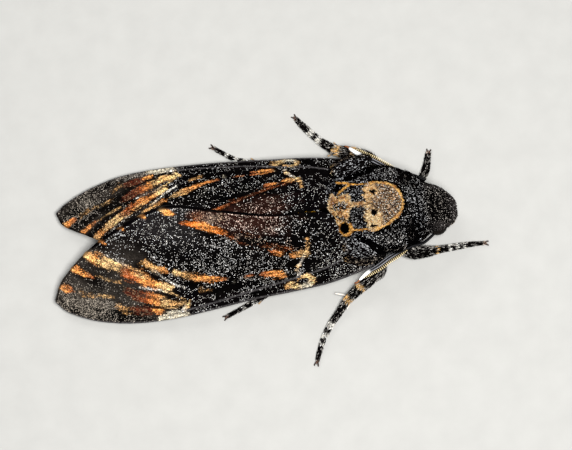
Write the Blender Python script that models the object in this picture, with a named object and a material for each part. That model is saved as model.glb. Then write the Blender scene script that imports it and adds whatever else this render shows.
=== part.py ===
"""A death's-head hawk moth at rest with its wings folded, life size, as a parted still model.

Everything is worked out in millimetres and stored in metres: +X runs to the head, +Y is the
moth's own left, +Z is up and the floor is z = 0.  Each named node is one closed solid and
neighbouring nodes stand about JOINT apart.
"""

import math

import bmesh
import bpy
from mathutils import Vector

MM = 0.001

JOINT = 0.3            # clear gap between neighbouring nodes
WING_THICK = 0.54      # thickness of every wing sheet
OVERLAP_LIFT = 0.92    # how far the upper forewing rides above the lower one
HIND_DROP = 0.87       # how far the hindwings lie under the roof of forewings
ROOF_ARCH = 1.8        # power of the arch from the ridge down to the costa
SECTION_POWER = 2.2    # 2 is an ellipse, more is squarer
BODY_SIDES = 22
HEAD_BEND = 0.0042     # sideways bend of the fore body toward the moth's right, per mm
BEND_START = 5.0

EYE_RADIUS = 1.75
EYE_SEAT = (23.0, 2.7, 4.8)
TARSUS_SIDES = 8
FOOT_RADIUS = 0.42
TEGULA_CENTRE = (9.9, 7.35, 9.65)
TEGULA_SIZE = (4.0, 1.6, 1.2)
TEGULA_ROLL = math.radians(36)
TEGULA_YAW = math.radians(16)

# Body stations: x, half width, top, underside.
BODY = (
    (-29.0, 1.9, 4.0, 1.4),
    (-24.0, 3.6, 5.9, 1.1),
    (-18.0, 4.9, 7.6, 1.0),
    (-10.0, 5.8, 9.1, 1.1),
    (-4.0, 5.6, 9.4, 1.6),
    (0.0, 4.9, 9.3, 2.7),
    (3.0, 5.1, 9.9, 2.9),
    (4.2, 5.4, 11.1, 2.9),
    (6.0, 5.9, 12.6, 2.9),
    (9.0, 6.7, 13.2, 2.9),
    (12.0, 7.2, 13.3, 2.9),
    (15.0, 7.35, 13.1, 3.0),
    (17.0, 7.0, 12.5, 3.2),
    (19.0, 6.2, 11.7, 3.4),
    (20.4, 5.3, 11.3, 3.3),
    (21.6, 4.4, 11.1, 3.0),
    (22.8, 3.95, 10.8, 2.9),
    (27.0, 3.8, 10.0, 2.9),
)

# Roof of wings: x, height of the ridge, height of the costa, half span to the costa.
ROOF = (
    (13.0, 10.4, 4.9, 9.4),
    (3.0, 11.8, 4.0, 11.1),
    (-4.0, 11.6, 3.3, 11.7),
    (-12.0, 10.8, 2.7, 12.4),
    (-20.0, 9.1, 2.1, 13.1),
    (-28.0, 6.7, 1.6, 13.3),
    (-36.0, 4.2, 1.3, 12.2),
    (-44.0, 2.1, 1.2, 10.0),
)

# Wing planforms from hinge to apex: costa x, costa y, inner or outer margin x, y.
FOREWING_RIGHT = (
    (11.3, -9.3, 11.0, -8.4),
    (8.0, -10.2, 8.0, -7.7),
    (3.0, -11.1, 4.9, -6.6),
    (-3.0, -11.5, 2.9, -0.6),
    (-9.5, -11.8, -4.5, 0.5),
    (-16.0, -12.4, -13.3, 2.7),
    (-23.0, -12.9, -22.2, 5.3),
    (-30.0, -12.7, -30.0, 3.4),
    (-36.5, -11.4, -36.5, 0.4),
    (-41.3, -9.2, -41.3, -3.4),
    (-43.3, -7.2, -43.3, -6.5),
)
FOREWING_LEFT = (
    (11.3, 9.2, 11.0, 8.3),
    (8.0, 9.9, 8.0, 7.6),
    (3.0, 10.9, 4.9, 6.7),
    (-3.0, 11.7, 2.6, 0.8),
    (-9.5, 12.5, -4.5, -0.2),
    (-16.0, 13.1, -13.0, -1.7),
    (-23.0, 13.4, -21.6, -4.0),
    (-29.5, 13.1, -29.2, -1.3),
    (-35.0, 11.8, -36.0, 3.0),
    (-39.3, 9.9, -40.2, 5.7),
    (-41.3, 8.4, -41.3, 7.8),
)
HINDWING = (
    (5.2, 9.0, 5.0, 8.0),
    (1.0, 10.0, 1.5, 6.6),
    (-6.0, 10.6, -5.0, 3.6),
    (-14.0, 10.9, -14.0, 2.0),
    (-21.0, 10.2, -21.5, 1.9),
    (-25.6, 8.0, -25.4, 4.2),
    (-26.8, 6.6, -26.8, 6.0),
)

# Legs from coxa to foot: x, y, z, radius.
LEGS = {
    "leg_front_right": (
        (14.6, -2.5, 1.45, 1.0), (16.3, -5.6, 1.9, 1.05), (18.0, -7.5, 2.3, 1.1),
        (20.6, -7.8, 1.8, 0.95), (22.4, -7.7, 1.2, 0.6), (24.6, -7.6, 0.75, 0.5),
        (28.2, -7.5, 0.42, 0.43), (30.0, -7.55, 0.37, FOOT_RADIUS),
        (31.0, -7.65, 0.37, FOOT_RADIUS),
    ),
    "leg_front_left": (
        (14.6, 2.5, 1.45, 1.0), (17.0, 3.7, 1.65, 1.0), (19.4, 3.9, 1.45, 0.95),
        (21.4, 4.5, 1.0, 0.7), (22.7, 6.3, 0.6, 0.58), (23.4, 8.3, 0.37, FOOT_RADIUS),
        (23.8, 9.6, 0.37, FOOT_RADIUS),
    ),
    "leg_mid_right": (
        (8.4, -2.6, 1.45, 1.05), (11.2, -6.6, 2.0, 1.15), (12.3, -9.6, 2.8, 1.1),
        (10.4, -11.2, 2.8, 1.15), (7.6, -13.0, 2.2, 1.1), (5.9, -14.2, 1.5, 0.75),
        (4.2, -16.0, 0.9, 0.52), (2.5, -17.8, 0.6, 0.48), (0.9, -20.2, 0.42, 0.43),
        (-0.2, -22.5, 0.37, FOOT_RADIUS), (-0.7, -23.8, 0.37, FOOT_RADIUS),
    ),
    "leg_mid_left": (
        (8.4, 2.6, 1.45, 1.05), (11.6, 6.2, 2.0, 1.15), (13.5, 8.8, 2.8, 1.2),
        (12.0, 10.2, 2.8, 1.2), (9.6, 11.3, 2.2, 1.1), (7.9, 12.1, 1.4, 0.75),
        (6.2, 13.6, 0.85, 0.52), (4.6, 15.3, 0.55, 0.48), (3.2, 17.1, 0.4, 0.43),
        (2.4, 18.2, 0.37, FOOT_RADIUS), (1.8, 19.1, 0.37, FOOT_RADIUS),
    ),
    "leg_hind_right": (
        (2.6, -2.6, 1.45, 1.0), (0.2, -6.4, 1.6, 1.05), (-3.4, -8.9, 1.6, 0.95),
        (-7.8, -11.0, 1.0, 0.6), (-11.6, -12.5, 0.48, 0.45), (-13.8, -13.3, 0.37, FOOT_RADIUS),
        (-14.9, -13.7, 0.37, FOOT_RADIUS),
    ),
    "leg_hind_left": (
        (2.6, 2.6, 1.45, 1.0), (0.4, 6.6, 1.6, 1.05), (-2.4, 9.6, 1.6, 0.9),
        (-5.6, 11.6, 1.0, 0.6), (-9.4, 13.3, 0.5, 0.46), (-12.2, 15.3, 0.37, FOOT_RADIUS),
        (-13.1, 16.0, 0.37, FOOT_RADIUS),
    ),
}
ANTENNA = (
    (22.0, 4.75, 7.6, 0.36), (21.2, 5.3, 6.7, 0.38), (20.2, 5.87, 5.9, 0.4), (19.0, 6.1, 5.3, 0.42),
    (17.8, 6.4, 5.25, 0.44), (16.0, 7.35, 5.4, 0.48), (14.0, 8.5, 5.5, 0.5), (12.0, 9.7, 5.4, 0.48),
    (10.9, 10.4, 5.3, 0.38), (10.1, 11.0, 5.2, 0.26),
)
PALP = (
    (22.8, 1.6, 1.75, 0.6), (24.3, 1.65, 1.7, 0.9), (25.5, 1.6, 2.3, 0.95), (26.3, 1.45, 3.7, 0.55),
)
PROBOSCIS_CENTRE = (24.6, 1.75)
PROBOSCIS_TURNS = 1.35
PROBOSCIS_RADIUS = 0.28

DARK = (0.025, 0.024, 0.026)
BROWN = (0.09, 0.045, 0.02)
OCHRE = (0.55, 0.34, 0.10)
GREY = (0.16, 0.16, 0.17)


# ---------------------------------------------------------------- shape helpers


def along(stations, t):
    """The smooth curve through the stations at t, counted in stations from 0."""
    last = len(stations) - 1
    i = max(0, min(last - 1, int(math.floor(t))))
    f = t - i
    p1, p2 = stations[i], stations[i + 1]
    p0 = stations[i - 1] if i else [2 * a - b for a, b in zip(p1, p2)]
    p3 = stations[i + 2] if i + 2 <= last else [2 * b - a for a, b in zip(p1, p2)]
    return [
        0.5 * (2 * b + (c - a) * f + (2 * a - 5 * b + 4 * c - d) * f * f
               + (3 * b - a - 3 * c + d) * f * f * f)
        for a, b, c, d in zip(p0, p1, p2, p3)
    ]


def at_x(stations, x):
    """Values of a station table at x by a smooth interpolation on its first column."""
    rows = sorted(stations)
    i = 0
    while i < len(rows) - 2 and rows[i + 1][0] < x:
        i += 1
    a, b = rows[i], rows[i + 1]
    before, after = rows[max(0, i - 1)], rows[min(len(rows) - 1, i + 2)]
    h = b[0] - a[0]
    f = min(1.0, max(0.0, (x - a[0]) / h))
    out = []
    for k in range(1, len(a)):
        ta = (b[k] - before[k]) / (b[0] - before[0]) * h
        tb = (after[k] - a[k]) / (after[0] - a[0]) * h
        out.append((2 * f**3 - 3 * f**2 + 1) * a[k] + (f**3 - 2 * f**2 + f) * ta
                   + (3 * f**2 - 2 * f**3) * b[k] + (f**3 - f**2) * tb)
    return out


def smoothstep(low, high, value):
    f = min(1.0, max(0.0, (value - low) / (high - low)))
    return f * f * (3 - 2 * f)


def bend(x):
    """Sideways place of the body's middle line."""
    return -HEAD_BEND * max(0.0, x - BEND_START) ** 2


def roof(x, y):
    """Height of the folded wings' middle surface."""
    ridge, eave, half = at_x(ROOF, x)
    return eave + (ridge - eave) * (1 - min(1.15, abs(y) / half) ** ROOF_ARCH)


def roof_normal(x, y):
    d = 0.05
    dx = (roof(x + d, y) - roof(x - d, y)) / (2 * d)
    dy = (roof(x, y + d) - roof(x, y - d)) / (2 * d)
    return Vector((-dx, -dy, 1.0)).normalized()


# ---------------------------------------------------------------- node makers


def finish(name, verts, faces, colour, roughness=0.7, smooth=True):
    """Store verts, in mm, and faces as one named object with its own material."""
    mesh = bpy.data.meshes.new(name)
    mesh.from_pydata([Vector(v) * MM for v in verts], [], faces)
    bm = bmesh.new()
    bm.from_mesh(mesh)
    bmesh.ops.recalc_face_normals(bm, faces=bm.faces)
    bm.to_mesh(mesh)
    bm.free()
    obj = bpy.data.objects.new(name, mesh)
    bpy.context.scene.collection.objects.link(obj)
    for face in mesh.polygons:
        face.use_smooth = smooth
    material = bpy.data.materials.new(name)
    material.use_nodes = True
    shader = material.node_tree.nodes["Principled BSDF"]
    shader.inputs["Base Color"].default_value = (*colour, 1.0)
    shader.inputs["Roughness"].default_value = roughness
    mesh.materials.append(material)
    return obj


def skin_rings(rings, start, end):
    """Verts and faces of a closed tube over equal rings with a pole at either end."""
    n = len(rings[0])
    verts = [v for ring in rings for v in ring] + [start, end]
    faces = []
    for r in range(len(rings) - 1):
        for k in range(n):
            a, b = r * n + k, r * n + (k + 1) % n
            faces.append((a, b, b + n, a + n))
    first, last = len(verts) - 2, len(verts) - 1
    base = (len(rings) - 1) * n
    for k in range(n):
        faces.append((first, (k + 1) % n, k))
        faces.append((last, base + k, base + (k + 1) % n))
    return verts, faces


def body_length(name, rear, front, rear_cap, front_cap, rings, colour):
    """A length of the body between two x, each end rounded off over its cap."""
    turns = [1 - math.cos(k * math.pi / 6) for k in (1, 2, 3)]
    span = (front - front_cap) - (rear + rear_cap)
    places = [rear + rear_cap * t for t in turns]
    places += [rear + rear_cap + span * k / rings for k in range(1, rings)]
    places += [front - front_cap * t for t in reversed(turns)]
    out = []
    for x in places:
        half, top, under = at_x(BODY, x)
        q = max(0.0, (rear + rear_cap - x) / rear_cap, (x - front + front_cap) / front_cap)
        cap = (1 - min(1.0, q) ** 2) ** 0.5
        middle, high = (top + under) / 2, (top - under) / 2
        ring = []
        for k in range(BODY_SIDES):
            a = 2 * math.pi * k / BODY_SIDES
            c, s = math.cos(a), math.sin(a)
            size = (abs(c) ** SECTION_POWER + abs(s) ** SECTION_POWER) ** (-1 / SECTION_POWER)
            ring.append((x, bend(x) + half * cap * size * c, middle + high * cap * size * s))
        out.append(ring)
    ends = []
    for x in (rear, front):
        _, top, under = at_x(BODY, x)
        ends.append((x, bend(x), (top + under) / 2))
    return finish(name, *skin_rings(out, *ends), colour)


def limb(name, stations, sides, steps, colour, blunt=0.35, floor=False, roughness=0.6):
    """A tapering limb swept through stations of x, y, z and radius, ends rounded off."""
    last = len(stations) - 1
    points = [along(stations, last * k / steps) for k in range(steps + 1)]
    rings = []
    side = Vector((0, 0, 1))
    for k, p in enumerate(points):
        before, after = points[max(0, k - 1)], points[min(steps, k + 1)]
        ahead = (Vector(after[:3]) - Vector(before[:3])).normalized()
        across = ahead.cross(side).normalized()
        up = across.cross(ahead)
        scale = 0.72 if k in (0, steps) else 1.0
        ring = []
        for j in range(sides):
            a = 2 * math.pi * (j + 0.5) / sides
            v = Vector(p[:3]) + (across * math.cos(a) + up * math.sin(a)) * p[3] * scale
            if floor:
                v.z = max(0.0, v.z)
            ring.append(v)
        rings.append(ring)
    ends = []
    for p, q in ((points[0], points[1]), (points[-1], points[-2])):
        out = (Vector(p[:3]) - Vector(q[:3])).normalized()
        ends.append(Vector(p[:3]) + out * p[3] * blunt)
    return finish(name, *skin_rings(rings, *ends), colour, roughness)


def sheet(name, planform, layer, rows, columns, colour):
    """A closed wing sheet over the roof; layer(x, y) is its height off the roof."""
    last = len(planform) - 1
    count = (rows + 1) * (columns + 1)
    upper, lower = [], []
    for i in range(rows + 1):
        cx, cy, mx, my = along(planform, last * i / rows)
        for j in range(columns + 1):
            f = j / columns
            x, y = cx + (mx - cx) * f, cy + (my - cy) * f
            n = roof_normal(x, y)
            p = Vector((x, y, roof(x, y))) + n * layer(x, y)
            upper.append(p + n * WING_THICK / 2)
            lower.append(p - n * WING_THICK / 2)
    w = columns + 1
    faces = []
    for i in range(rows):
        for j in range(columns):
            a = i * w + j
            faces.append((a, a + 1, a + 1 + w, a + w))
            faces.append((count + a, count + a + w, count + a + 1 + w, count + a + 1))
    rim = [j for j in range(columns)] + [i * w + columns for i in range(rows)]
    rim += [rows * w + j for j in range(columns, 0, -1)] + [i * w for i in range(rows, 0, -1)]
    for k, a in enumerate(rim):
        b = rim[(k + 1) % len(rim)]
        faces.append((a, count + a, count + b, b))
    return finish(name, upper + lower, faces, colour)


def lobe(name, centre, size, roll, yaw, grow, colour, segments=14, rings=9):
    """An ellipsoid turned by roll and yaw; grow adds to every half axis."""
    verts, ring_list = [], []
    c = Vector(centre)
    for i in range(1, rings):
        a = math.pi * i / rings
        ring = []
        for k in range(segments):
            b = 2 * math.pi * k / segments
            v = Vector((-(size[0] + grow) * math.cos(a),
                        (size[1] + grow) * math.sin(a) * math.cos(b),
                        (size[2] + grow) * math.sin(a) * math.sin(b)))
            y = v.y * math.cos(roll) - v.z * math.sin(roll)
            z = v.y * math.sin(roll) + v.z * math.cos(roll)
            ring.append(c + Vector((v.x * math.cos(yaw) - y * math.sin(yaw),
                                    v.x * math.sin(yaw) + y * math.cos(yaw), z)))
        ring_list.append(ring)
    long = Vector((math.cos(yaw), math.sin(yaw), 0)) * (size[0] + grow)
    verts, faces = skin_rings(ring_list, c - long, c + long)
    return finish(name, verts, faces, colour)


def fork(name, root, ahead, reach, spread, droop, colour):
    """A pair of pointed prongs from one root, as on a foot."""
    root, ahead = Vector(root), Vector(ahead).normalized()
    across = ahead.cross(Vector((0, 0, 1))).normalized()
    prong = root + ahead * reach + Vector((0, 0, droop))
    middle = root + ahead * reach * 0.55 + Vector((0, 0, 0.12))
    stations = (
        (*(prong + across * spread), 0.11),
        (*(middle + across * spread * 0.8), 0.2),
        (*root, 0.24),
        (*(middle - across * spread * 0.8), 0.2),
        (*(prong - across * spread), 0.11),
    )
    return limb(name, stations, 5, 6, colour, roughness=0.35)


def carve(obj, cutter):
    """Cut cutter's shape out of obj and keep the cutter off the picture."""
    cut = obj.modifiers.new("seat", "BOOLEAN")
    cut.operation = "DIFFERENCE"
    cut.solver = "EXACT"
    cut.object = cutter
    cutter.display_type = "WIRE"
    cutter.hide_render = True


def mirror(stations):
    return [(s[0], -s[1], *s[2:]) for s in stations]


def bent(stations):
    return [(s[0], s[1] + bend(s[0]), *s[2:]) for s in stations]


# ---------------------------------------------------------------- the moth

for old in list(bpy.data.objects):
    bpy.data.objects.remove(old, do_unlink=True)

half_joint = JOINT / 2

# Trunk, neck and head.
thorax = body_length("thorax", 0.0, 19.0 - half_joint, 0.7, 0.8, 15, DARK)
body_length("neck", 19.0 + half_joint, 20.5 - half_joint, 0.35, 0.35, 2, DARK)
head = body_length("head", 20.5 + half_joint, 26.8, 0.5, 4.15, 3, DARK)
SEGMENT_ENDS = (-29.2, -23.5, -18.5, -13.0, -7.2, 0.0 - JOINT)
for number in range(5):
    rear, front = SEGMENT_ENDS[4 - number], SEGMENT_ENDS[5 - number]
    rear_cap = 2.6 if number == 4 else 0.45
    body_length(f"abdomen_{number + 1}", rear + half_joint, front - half_joint,
                rear_cap, 0.45, 3, OCHRE)

# Paired parts on both sides; side is +1 for the moth's left.
for tag, side in (("left", 1), ("right", -1)):
    seat = Vector((EYE_SEAT[0], side * EYE_SEAT[1] + bend(EYE_SEAT[0]), EYE_SEAT[2]))
    r = EYE_RADIUS
    lobe(f"eye_{tag}", seat, (r, r, r), 0, 0, 0, (0.02, 0.008, 0.005))
    carve(head, lobe(f"eye_seat_{tag}", seat, (r, r, r), 0, 0, JOINT, DARK))

    spot = Vector((TEGULA_CENTRE[0], side * TEGULA_CENTRE[1], TEGULA_CENTRE[2]))
    turn = (-side * TEGULA_ROLL, side * TEGULA_YAW)
    lobe(f"tegula_{tag}", spot, TEGULA_SIZE, *turn, 0, GREY)
    carve(thorax, lobe(f"tegula_seat_{tag}", spot, TEGULA_SIZE, *turn, JOINT, DARK))

    pick = (lambda s: list(s)) if side > 0 else mirror
    limb(f"antenna_{tag}", bent(pick(ANTENNA)), 8, 14, (0.35, 0.33, 0.30))
    limb(f"palp_{tag}", bent(pick(PALP)), 8, 8, DARK, blunt=0.6)

    hind = [(a, side * b, c, side * d) for a, b, c, d in HINDWING]
    sheet(f"hindwing_{tag}", hind, lambda x, y: -HIND_DROP, 10, 4, OCHRE)

sheet("forewing_left", FOREWING_LEFT, lambda x, y: 0.0, 21, 8, DARK)
sheet("forewing_right", FOREWING_RIGHT,
      lambda x, y: OVERLAP_LIFT * smoothstep(-8.4, -4.7, y), 21, 8, DARK)

# The short coiled proboscis between the palps.
coil = []
for k in range(9):
    turn = 2 * math.pi * PROBOSCIS_TURNS * k / 8
    reach = 1.35 - 0.13 * k
    x = PROBOSCIS_CENTRE[0] - reach * math.cos(turn)
    coil.append((x, bend(x), PROBOSCIS_CENTRE[1] - reach * math.sin(turn), PROBOSCIS_RADIUS))
limb("proboscis", coil, 6, 14, BROWN, roughness=0.35)

# Legs with their claws.
for leg, stations in LEGS.items():
    limb(leg, stations, TARSUS_SIDES, 17, DARK, floor=True)
    foot, before = Vector(stations[-1][:3]), Vector(stations[-2][:3])
    step = Vector(((foot - before).x, (foot - before).y, 0)).normalized()
    root = foot + step * (FOOT_RADIUS * 0.35 + JOINT + 0.22)
    fork(leg.replace("leg", "claws"), (root.x, root.y, 0.42), step, 0.8, 0.42, -0.2,
         (0.12, 0.05, 0.02))

# Move everything so the origin is under the middle of the whole model, on the floor.
bpy.context.view_layer.update()
shown = [o for o in bpy.data.objects if not o.hide_render]
points = [v.co for o in shown for v in o.data.vertices]
shift = Vector((
    -(min(p.x for p in points) + max(p.x for p in points)) / 2,
    -(min(p.y for p in points) + max(p.y for p in points)) / 2,
    -min(p.z for p in points),
))
for obj in bpy.data.objects:
    for vertex in obj.data.vertices:
        vertex.co += shift
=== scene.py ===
import math
from collections import namedtuple

import bmesh
import bpy
import numpy as np
from mathutils import Matrix, Vector


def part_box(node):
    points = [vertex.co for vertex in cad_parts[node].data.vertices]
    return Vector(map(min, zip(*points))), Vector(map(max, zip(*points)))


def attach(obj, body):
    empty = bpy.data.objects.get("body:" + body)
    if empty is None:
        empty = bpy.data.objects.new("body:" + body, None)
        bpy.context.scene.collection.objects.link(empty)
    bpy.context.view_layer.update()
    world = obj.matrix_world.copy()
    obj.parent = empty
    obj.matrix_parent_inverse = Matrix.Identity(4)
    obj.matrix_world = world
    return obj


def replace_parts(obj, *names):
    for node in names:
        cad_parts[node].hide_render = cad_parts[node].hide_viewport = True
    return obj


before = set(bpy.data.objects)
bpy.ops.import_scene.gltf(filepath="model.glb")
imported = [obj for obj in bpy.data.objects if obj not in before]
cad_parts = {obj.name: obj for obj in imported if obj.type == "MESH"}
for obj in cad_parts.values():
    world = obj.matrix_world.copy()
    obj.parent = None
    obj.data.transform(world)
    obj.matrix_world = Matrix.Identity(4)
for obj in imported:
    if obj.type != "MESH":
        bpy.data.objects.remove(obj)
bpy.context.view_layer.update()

# ------------------------------------------------------------------ sizes and tables, in mm
# The moth's own frame: x to the head, y to its left, z up from the floor.  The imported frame
# has its origin under the middle of the box; the seats of the eyes give the shift between them.
HEAD_BEND, BEND_START = 0.0042, 5.0
EYE_X, EYE_Y, EYE_Z, EYE_R = 23.0, 2.7, 4.8, 1.75
SECTION_POWER, ROOF_ARCH = 2.2, 1.8
OVERLAP_LIFT, HIND_DROP = 0.92, 0.87


def bend(x):
    return -HEAD_BEND * np.maximum(0.0, np.asarray(x, float) - BEND_START) ** 2


left_eye, right_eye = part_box("eye_left"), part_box("eye_right")
DX = (left_eye[0][0] + left_eye[1][0]) / 2 * 1000 - EYE_X
DY = (left_eye[0][1] + right_eye[1][1]) / 2 * 1000 - float(bend(EYE_X))

BODY = (
    (-29.0, 1.9, 4.0, 1.4), (-24.0, 3.6, 5.9, 1.1), (-18.0, 4.9, 7.6, 1.0), (-10.0, 5.8, 9.1, 1.1),
    (-4.0, 5.6, 9.4, 1.6), (0.0, 4.9, 9.3, 2.7), (3.0, 5.1, 9.9, 2.9), (4.2, 5.4, 11.1, 2.9),
    (6.0, 5.9, 12.6, 2.9), (9.0, 6.7, 13.2, 2.9), (12.0, 7.2, 13.3, 2.9), (15.0, 7.35, 13.1, 3.0),
    (17.0, 7.0, 12.5, 3.2), (19.0, 6.2, 11.7, 3.4), (20.4, 5.3, 11.3, 3.3), (21.6, 4.4, 11.1, 3.0),
    (22.8, 3.95, 10.8, 2.9), (27.0, 3.8, 10.0, 2.9),
)
BODY_REAR, REAR_CAP, BODY_FRONT, FRONT_CAP = -29.05, 2.6, 26.8, 4.15
ROOF = (
    (-44.0, 2.1, 1.2, 10.0), (-36.0, 4.2, 1.3, 12.2), (-28.0, 6.7, 1.6, 13.3), (-20.0, 9.1, 2.1, 13.1),
    (-12.0, 10.8, 2.7, 12.4), (-4.0, 11.6, 3.3, 11.7), (3.0, 11.8, 4.0, 11.1), (13.0, 10.4, 4.9, 9.4),
)
FOREWING = {
    -1: (
        (11.3, -9.3, 11.2, -7.6), (8.0, -10.2, 8.8, -6.2), (3.0, -11.1, 6.2, -4.6),
        (-3.0, -11.5, 5.0, -0.6), (-9.5, -11.8, -4.5, 0.5), (-16.0, -12.4, -13.3, 2.7),
        (-23.0, -12.9, -22.2, 5.3), (-30.0, -12.7, -30.0, 3.4), (-36.5, -11.4, -36.5, 0.4),
        (-41.3, -9.2, -41.3, -3.4), (-43.3, -7.2, -43.3, -6.5),
    ),
    1: (
        (11.3, 9.2, 11.2, 7.6), (8.0, 9.9, 8.8, 6.2), (3.0, 10.9, 6.2, 4.6),
        (-3.0, 11.7, 4.9, 0.8), (-9.5, 12.5, -4.5, -0.2), (-16.0, 13.1, -13.0, -1.7),
        (-23.0, 13.4, -21.6, -4.0), (-29.5, 13.1, -29.2, -1.3), (-35.0, 11.8, -36.0, 3.0),
        (-39.3, 9.9, -40.2, 5.7), (-41.3, 8.4, -41.3, 7.8),
    ),
}
HINDWING = (
    (5.2, 9.0, 5.0, 8.0), (1.0, 10.0, 1.5, 6.6), (-6.0, 10.6, -5.0, 3.6), (-14.0, 10.9, -14.0, 2.0),
    (-21.0, 10.2, -21.5, 1.9), (-25.6, 8.0, -25.4, 4.2), (-26.8, 6.6, -26.8, 6.0),
)
# Legs from coxa to foot: x, y, z, radius; the first station is raised into the trunk.
LEGS = {
    "front_right": (
        (14.6, -2.2, 3.2, 1.0), (14.6, -2.5, 1.6, 1.0), (16.3, -5.6, 1.9, 1.05), (18.0, -7.5, 2.3, 1.1),
        (20.6, -7.8, 1.8, 0.95), (22.4, -7.7, 1.2, 0.7), (24.6, -7.6, 0.75, 0.6),
        (28.2, -7.5, 0.45, 0.5), (30.0, -7.55, 0.38, 0.4), (31.0, -7.65, 0.37, 0.36)),
    "front_left": (
        (14.6, 2.2, 3.2, 1.0), (14.6, 2.5, 1.6, 1.0), (17.0, 3.7, 1.65, 1.0), (19.4, 3.9, 1.45, 0.95),
        (21.4, 4.5, 1.0, 0.7), (22.7, 6.3, 0.65, 0.7), (23.4, 8.3, 0.5, 0.58), (23.8, 9.6, 0.42, 0.48)),
    "mid_right": (
        (8.4, -2.2, 3.2, 1.05), (8.4, -2.6, 1.6, 1.05), (11.2, -6.6, 2.0, 1.15), (12.3, -9.6, 2.8, 1.1),
        (10.4, -11.2, 2.8, 1.0), (7.6, -13.0, 2.2, 0.85), (5.9, -14.2, 1.5, 0.72),
        (4.2, -16.0, 0.9, 0.64), (2.5, -17.8, 0.65, 0.58), (0.9, -20.2, 0.5, 0.52),
        (-0.2, -22.5, 0.42, 0.46), (-0.7, -23.8, 0.38, 0.42)),
    "mid_left": (
        (8.4, 2.2, 3.2, 1.05), (8.4, 2.6, 1.6, 1.05), (11.6, 6.2, 2.0, 1.15), (13.5, 8.8, 2.8, 1.2),
        (12.0, 10.2, 2.8, 1.15), (9.6, 11.3, 2.2, 1.0), (7.9, 12.1, 1.4, 0.85),
        (6.2, 13.6, 0.9, 0.72), (4.6, 15.3, 0.65, 0.64), (3.2, 17.1, 0.52, 0.6),
        (2.4, 18.2, 0.45, 0.5), (1.8, 19.1, 0.38, 0.42)),
    "hind_right": (
        (2.6, -2.2, 3.2, 1.0), (2.6, -2.6, 1.6, 1.0), (0.2, -6.4, 1.6, 1.05), (-3.4, -8.9, 1.6, 0.95),
        (-7.8, -11.0, 1.0, 0.6), (-11.6, -12.5, 0.48, 0.45), (-13.8, -13.3, 0.37, 0.42),
        (-14.9, -13.7, 0.37, 0.42)),
    "hind_left": (
        (2.6, 2.2, 3.2, 1.0), (2.6, 2.6, 1.6, 1.0), (0.4, 6.6, 1.6, 1.05), (-2.4, 9.6, 1.6, 0.9),
        (-5.6, 11.6, 1.0, 0.6), (-9.4, 13.3, 0.5, 0.46), (-12.2, 15.3, 0.37, 0.42),
        (-13.1, 16.0, 0.37, 0.42)),
}
ANTENNA = (
    (22.0, 4.75, 7.6, 0.36), (21.2, 5.3, 6.7, 0.38), (20.2, 5.87, 5.9, 0.4), (19.0, 6.1, 5.3, 0.42),
    (17.8, 6.4, 5.25, 0.44), (16.0, 7.35, 5.4, 0.48), (14.0, 8.5, 5.5, 0.5), (12.0, 9.7, 5.4, 0.48),
    (10.9, 10.4, 5.3, 0.38), (10.1, 11.0, 5.2, 0.26),
)
PALP = ((22.0, 1.0, 3.6, 0.5), (22.8, 1.45, 1.75, 0.6), (24.3, 1.45, 1.7, 0.85), (25.4, 1.3, 2.3, 0.85),
        (26.0, 1.1, 3.6, 0.5))
TEGULA_CENTRE, TEGULA_SIZE = (9.9, 7.35, 9.65), (4.0, 1.6, 1.2)
TEGULA_ROLL, TEGULA_YAW = math.radians(36), {1: math.radians(15), -1: math.radians(22)}

# ------------------------------------------------------------------ numeric helpers


def srgb(*c):
    """An 8-bit display colour as linear light."""
    v = np.array(c, float) / 255
    return np.where(v <= 0.04045, v / 12.92, ((v + 0.055) / 1.055) ** 2.4)


def step(low, high, v):
    f = np.clip((np.asarray(v, float) - low) / (high - low), 0, 1)
    return f * f * (3 - 2 * f)


def unit(v):
    return v / np.maximum(np.linalg.norm(v, axis=-1, keepdims=True), 1e-9)


def at_x(stations, x):
    """Columns of a station table at the places x, by the same smooth interpolation as the solids."""
    rows = np.array(sorted(stations), float)
    x = np.atleast_1d(np.asarray(x, float))
    last = len(rows) - 1
    i = np.clip(np.searchsorted(rows[:, 0], x, side="left") - 1, 0, last - 1)
    a, b = rows[i], rows[i + 1]
    before, after = rows[np.maximum(i - 1, 0)], rows[np.minimum(i + 2, last)]
    h = (b[:, :1] - a[:, :1])
    f = np.clip((x[:, None] - a[:, :1]) / h, 0, 1)
    ta = (b[:, 1:] - before[:, 1:]) / (b[:, :1] - before[:, :1]) * h
    tb = (after[:, 1:] - a[:, 1:]) / (after[:, :1] - a[:, :1]) * h
    out = ((2 * f**3 - 3 * f**2 + 1) * a[:, 1:] + (f**3 - 2 * f**2 + f) * ta
           + (3 * f**2 - 2 * f**3) * b[:, 1:] + (f**3 - f**2) * tb)
    return out.T


def along(stations, t):
    """The smooth curve through the stations at t in 0..1."""
    rows = np.array(stations, float)
    last = len(rows) - 1
    t = np.clip(np.atleast_1d(np.asarray(t, float)), 0, 1) * last
    i = np.clip(np.floor(t).astype(int), 0, last - 1)
    f = (t - i)[:, None]
    b, c = rows[i], rows[i + 1]
    a = np.where((i > 0)[:, None], rows[np.maximum(i - 1, 0)], 2 * b - c)
    d = np.where((i + 2 <= last)[:, None], rows[np.minimum(i + 2, last)], 2 * c - b)
    return 0.5 * (2 * b + (c - a) * f + (2 * a - 5 * b + 4 * c - d) * f * f
                  + (3 * b - a - 3 * c + d) * f**3)


def lattice(i, j, k, seed):
    h = (i * 374761393 + j * 668265263 + k * 2147483647 + seed * 144665) & 0xFFFFFFFF
    h = ((h ^ (h >> 13)) * 1274126177) & 0xFFFFFFFF
    return ((h ^ (h >> 16)) & 0xFFFF) / 65535.0


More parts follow.
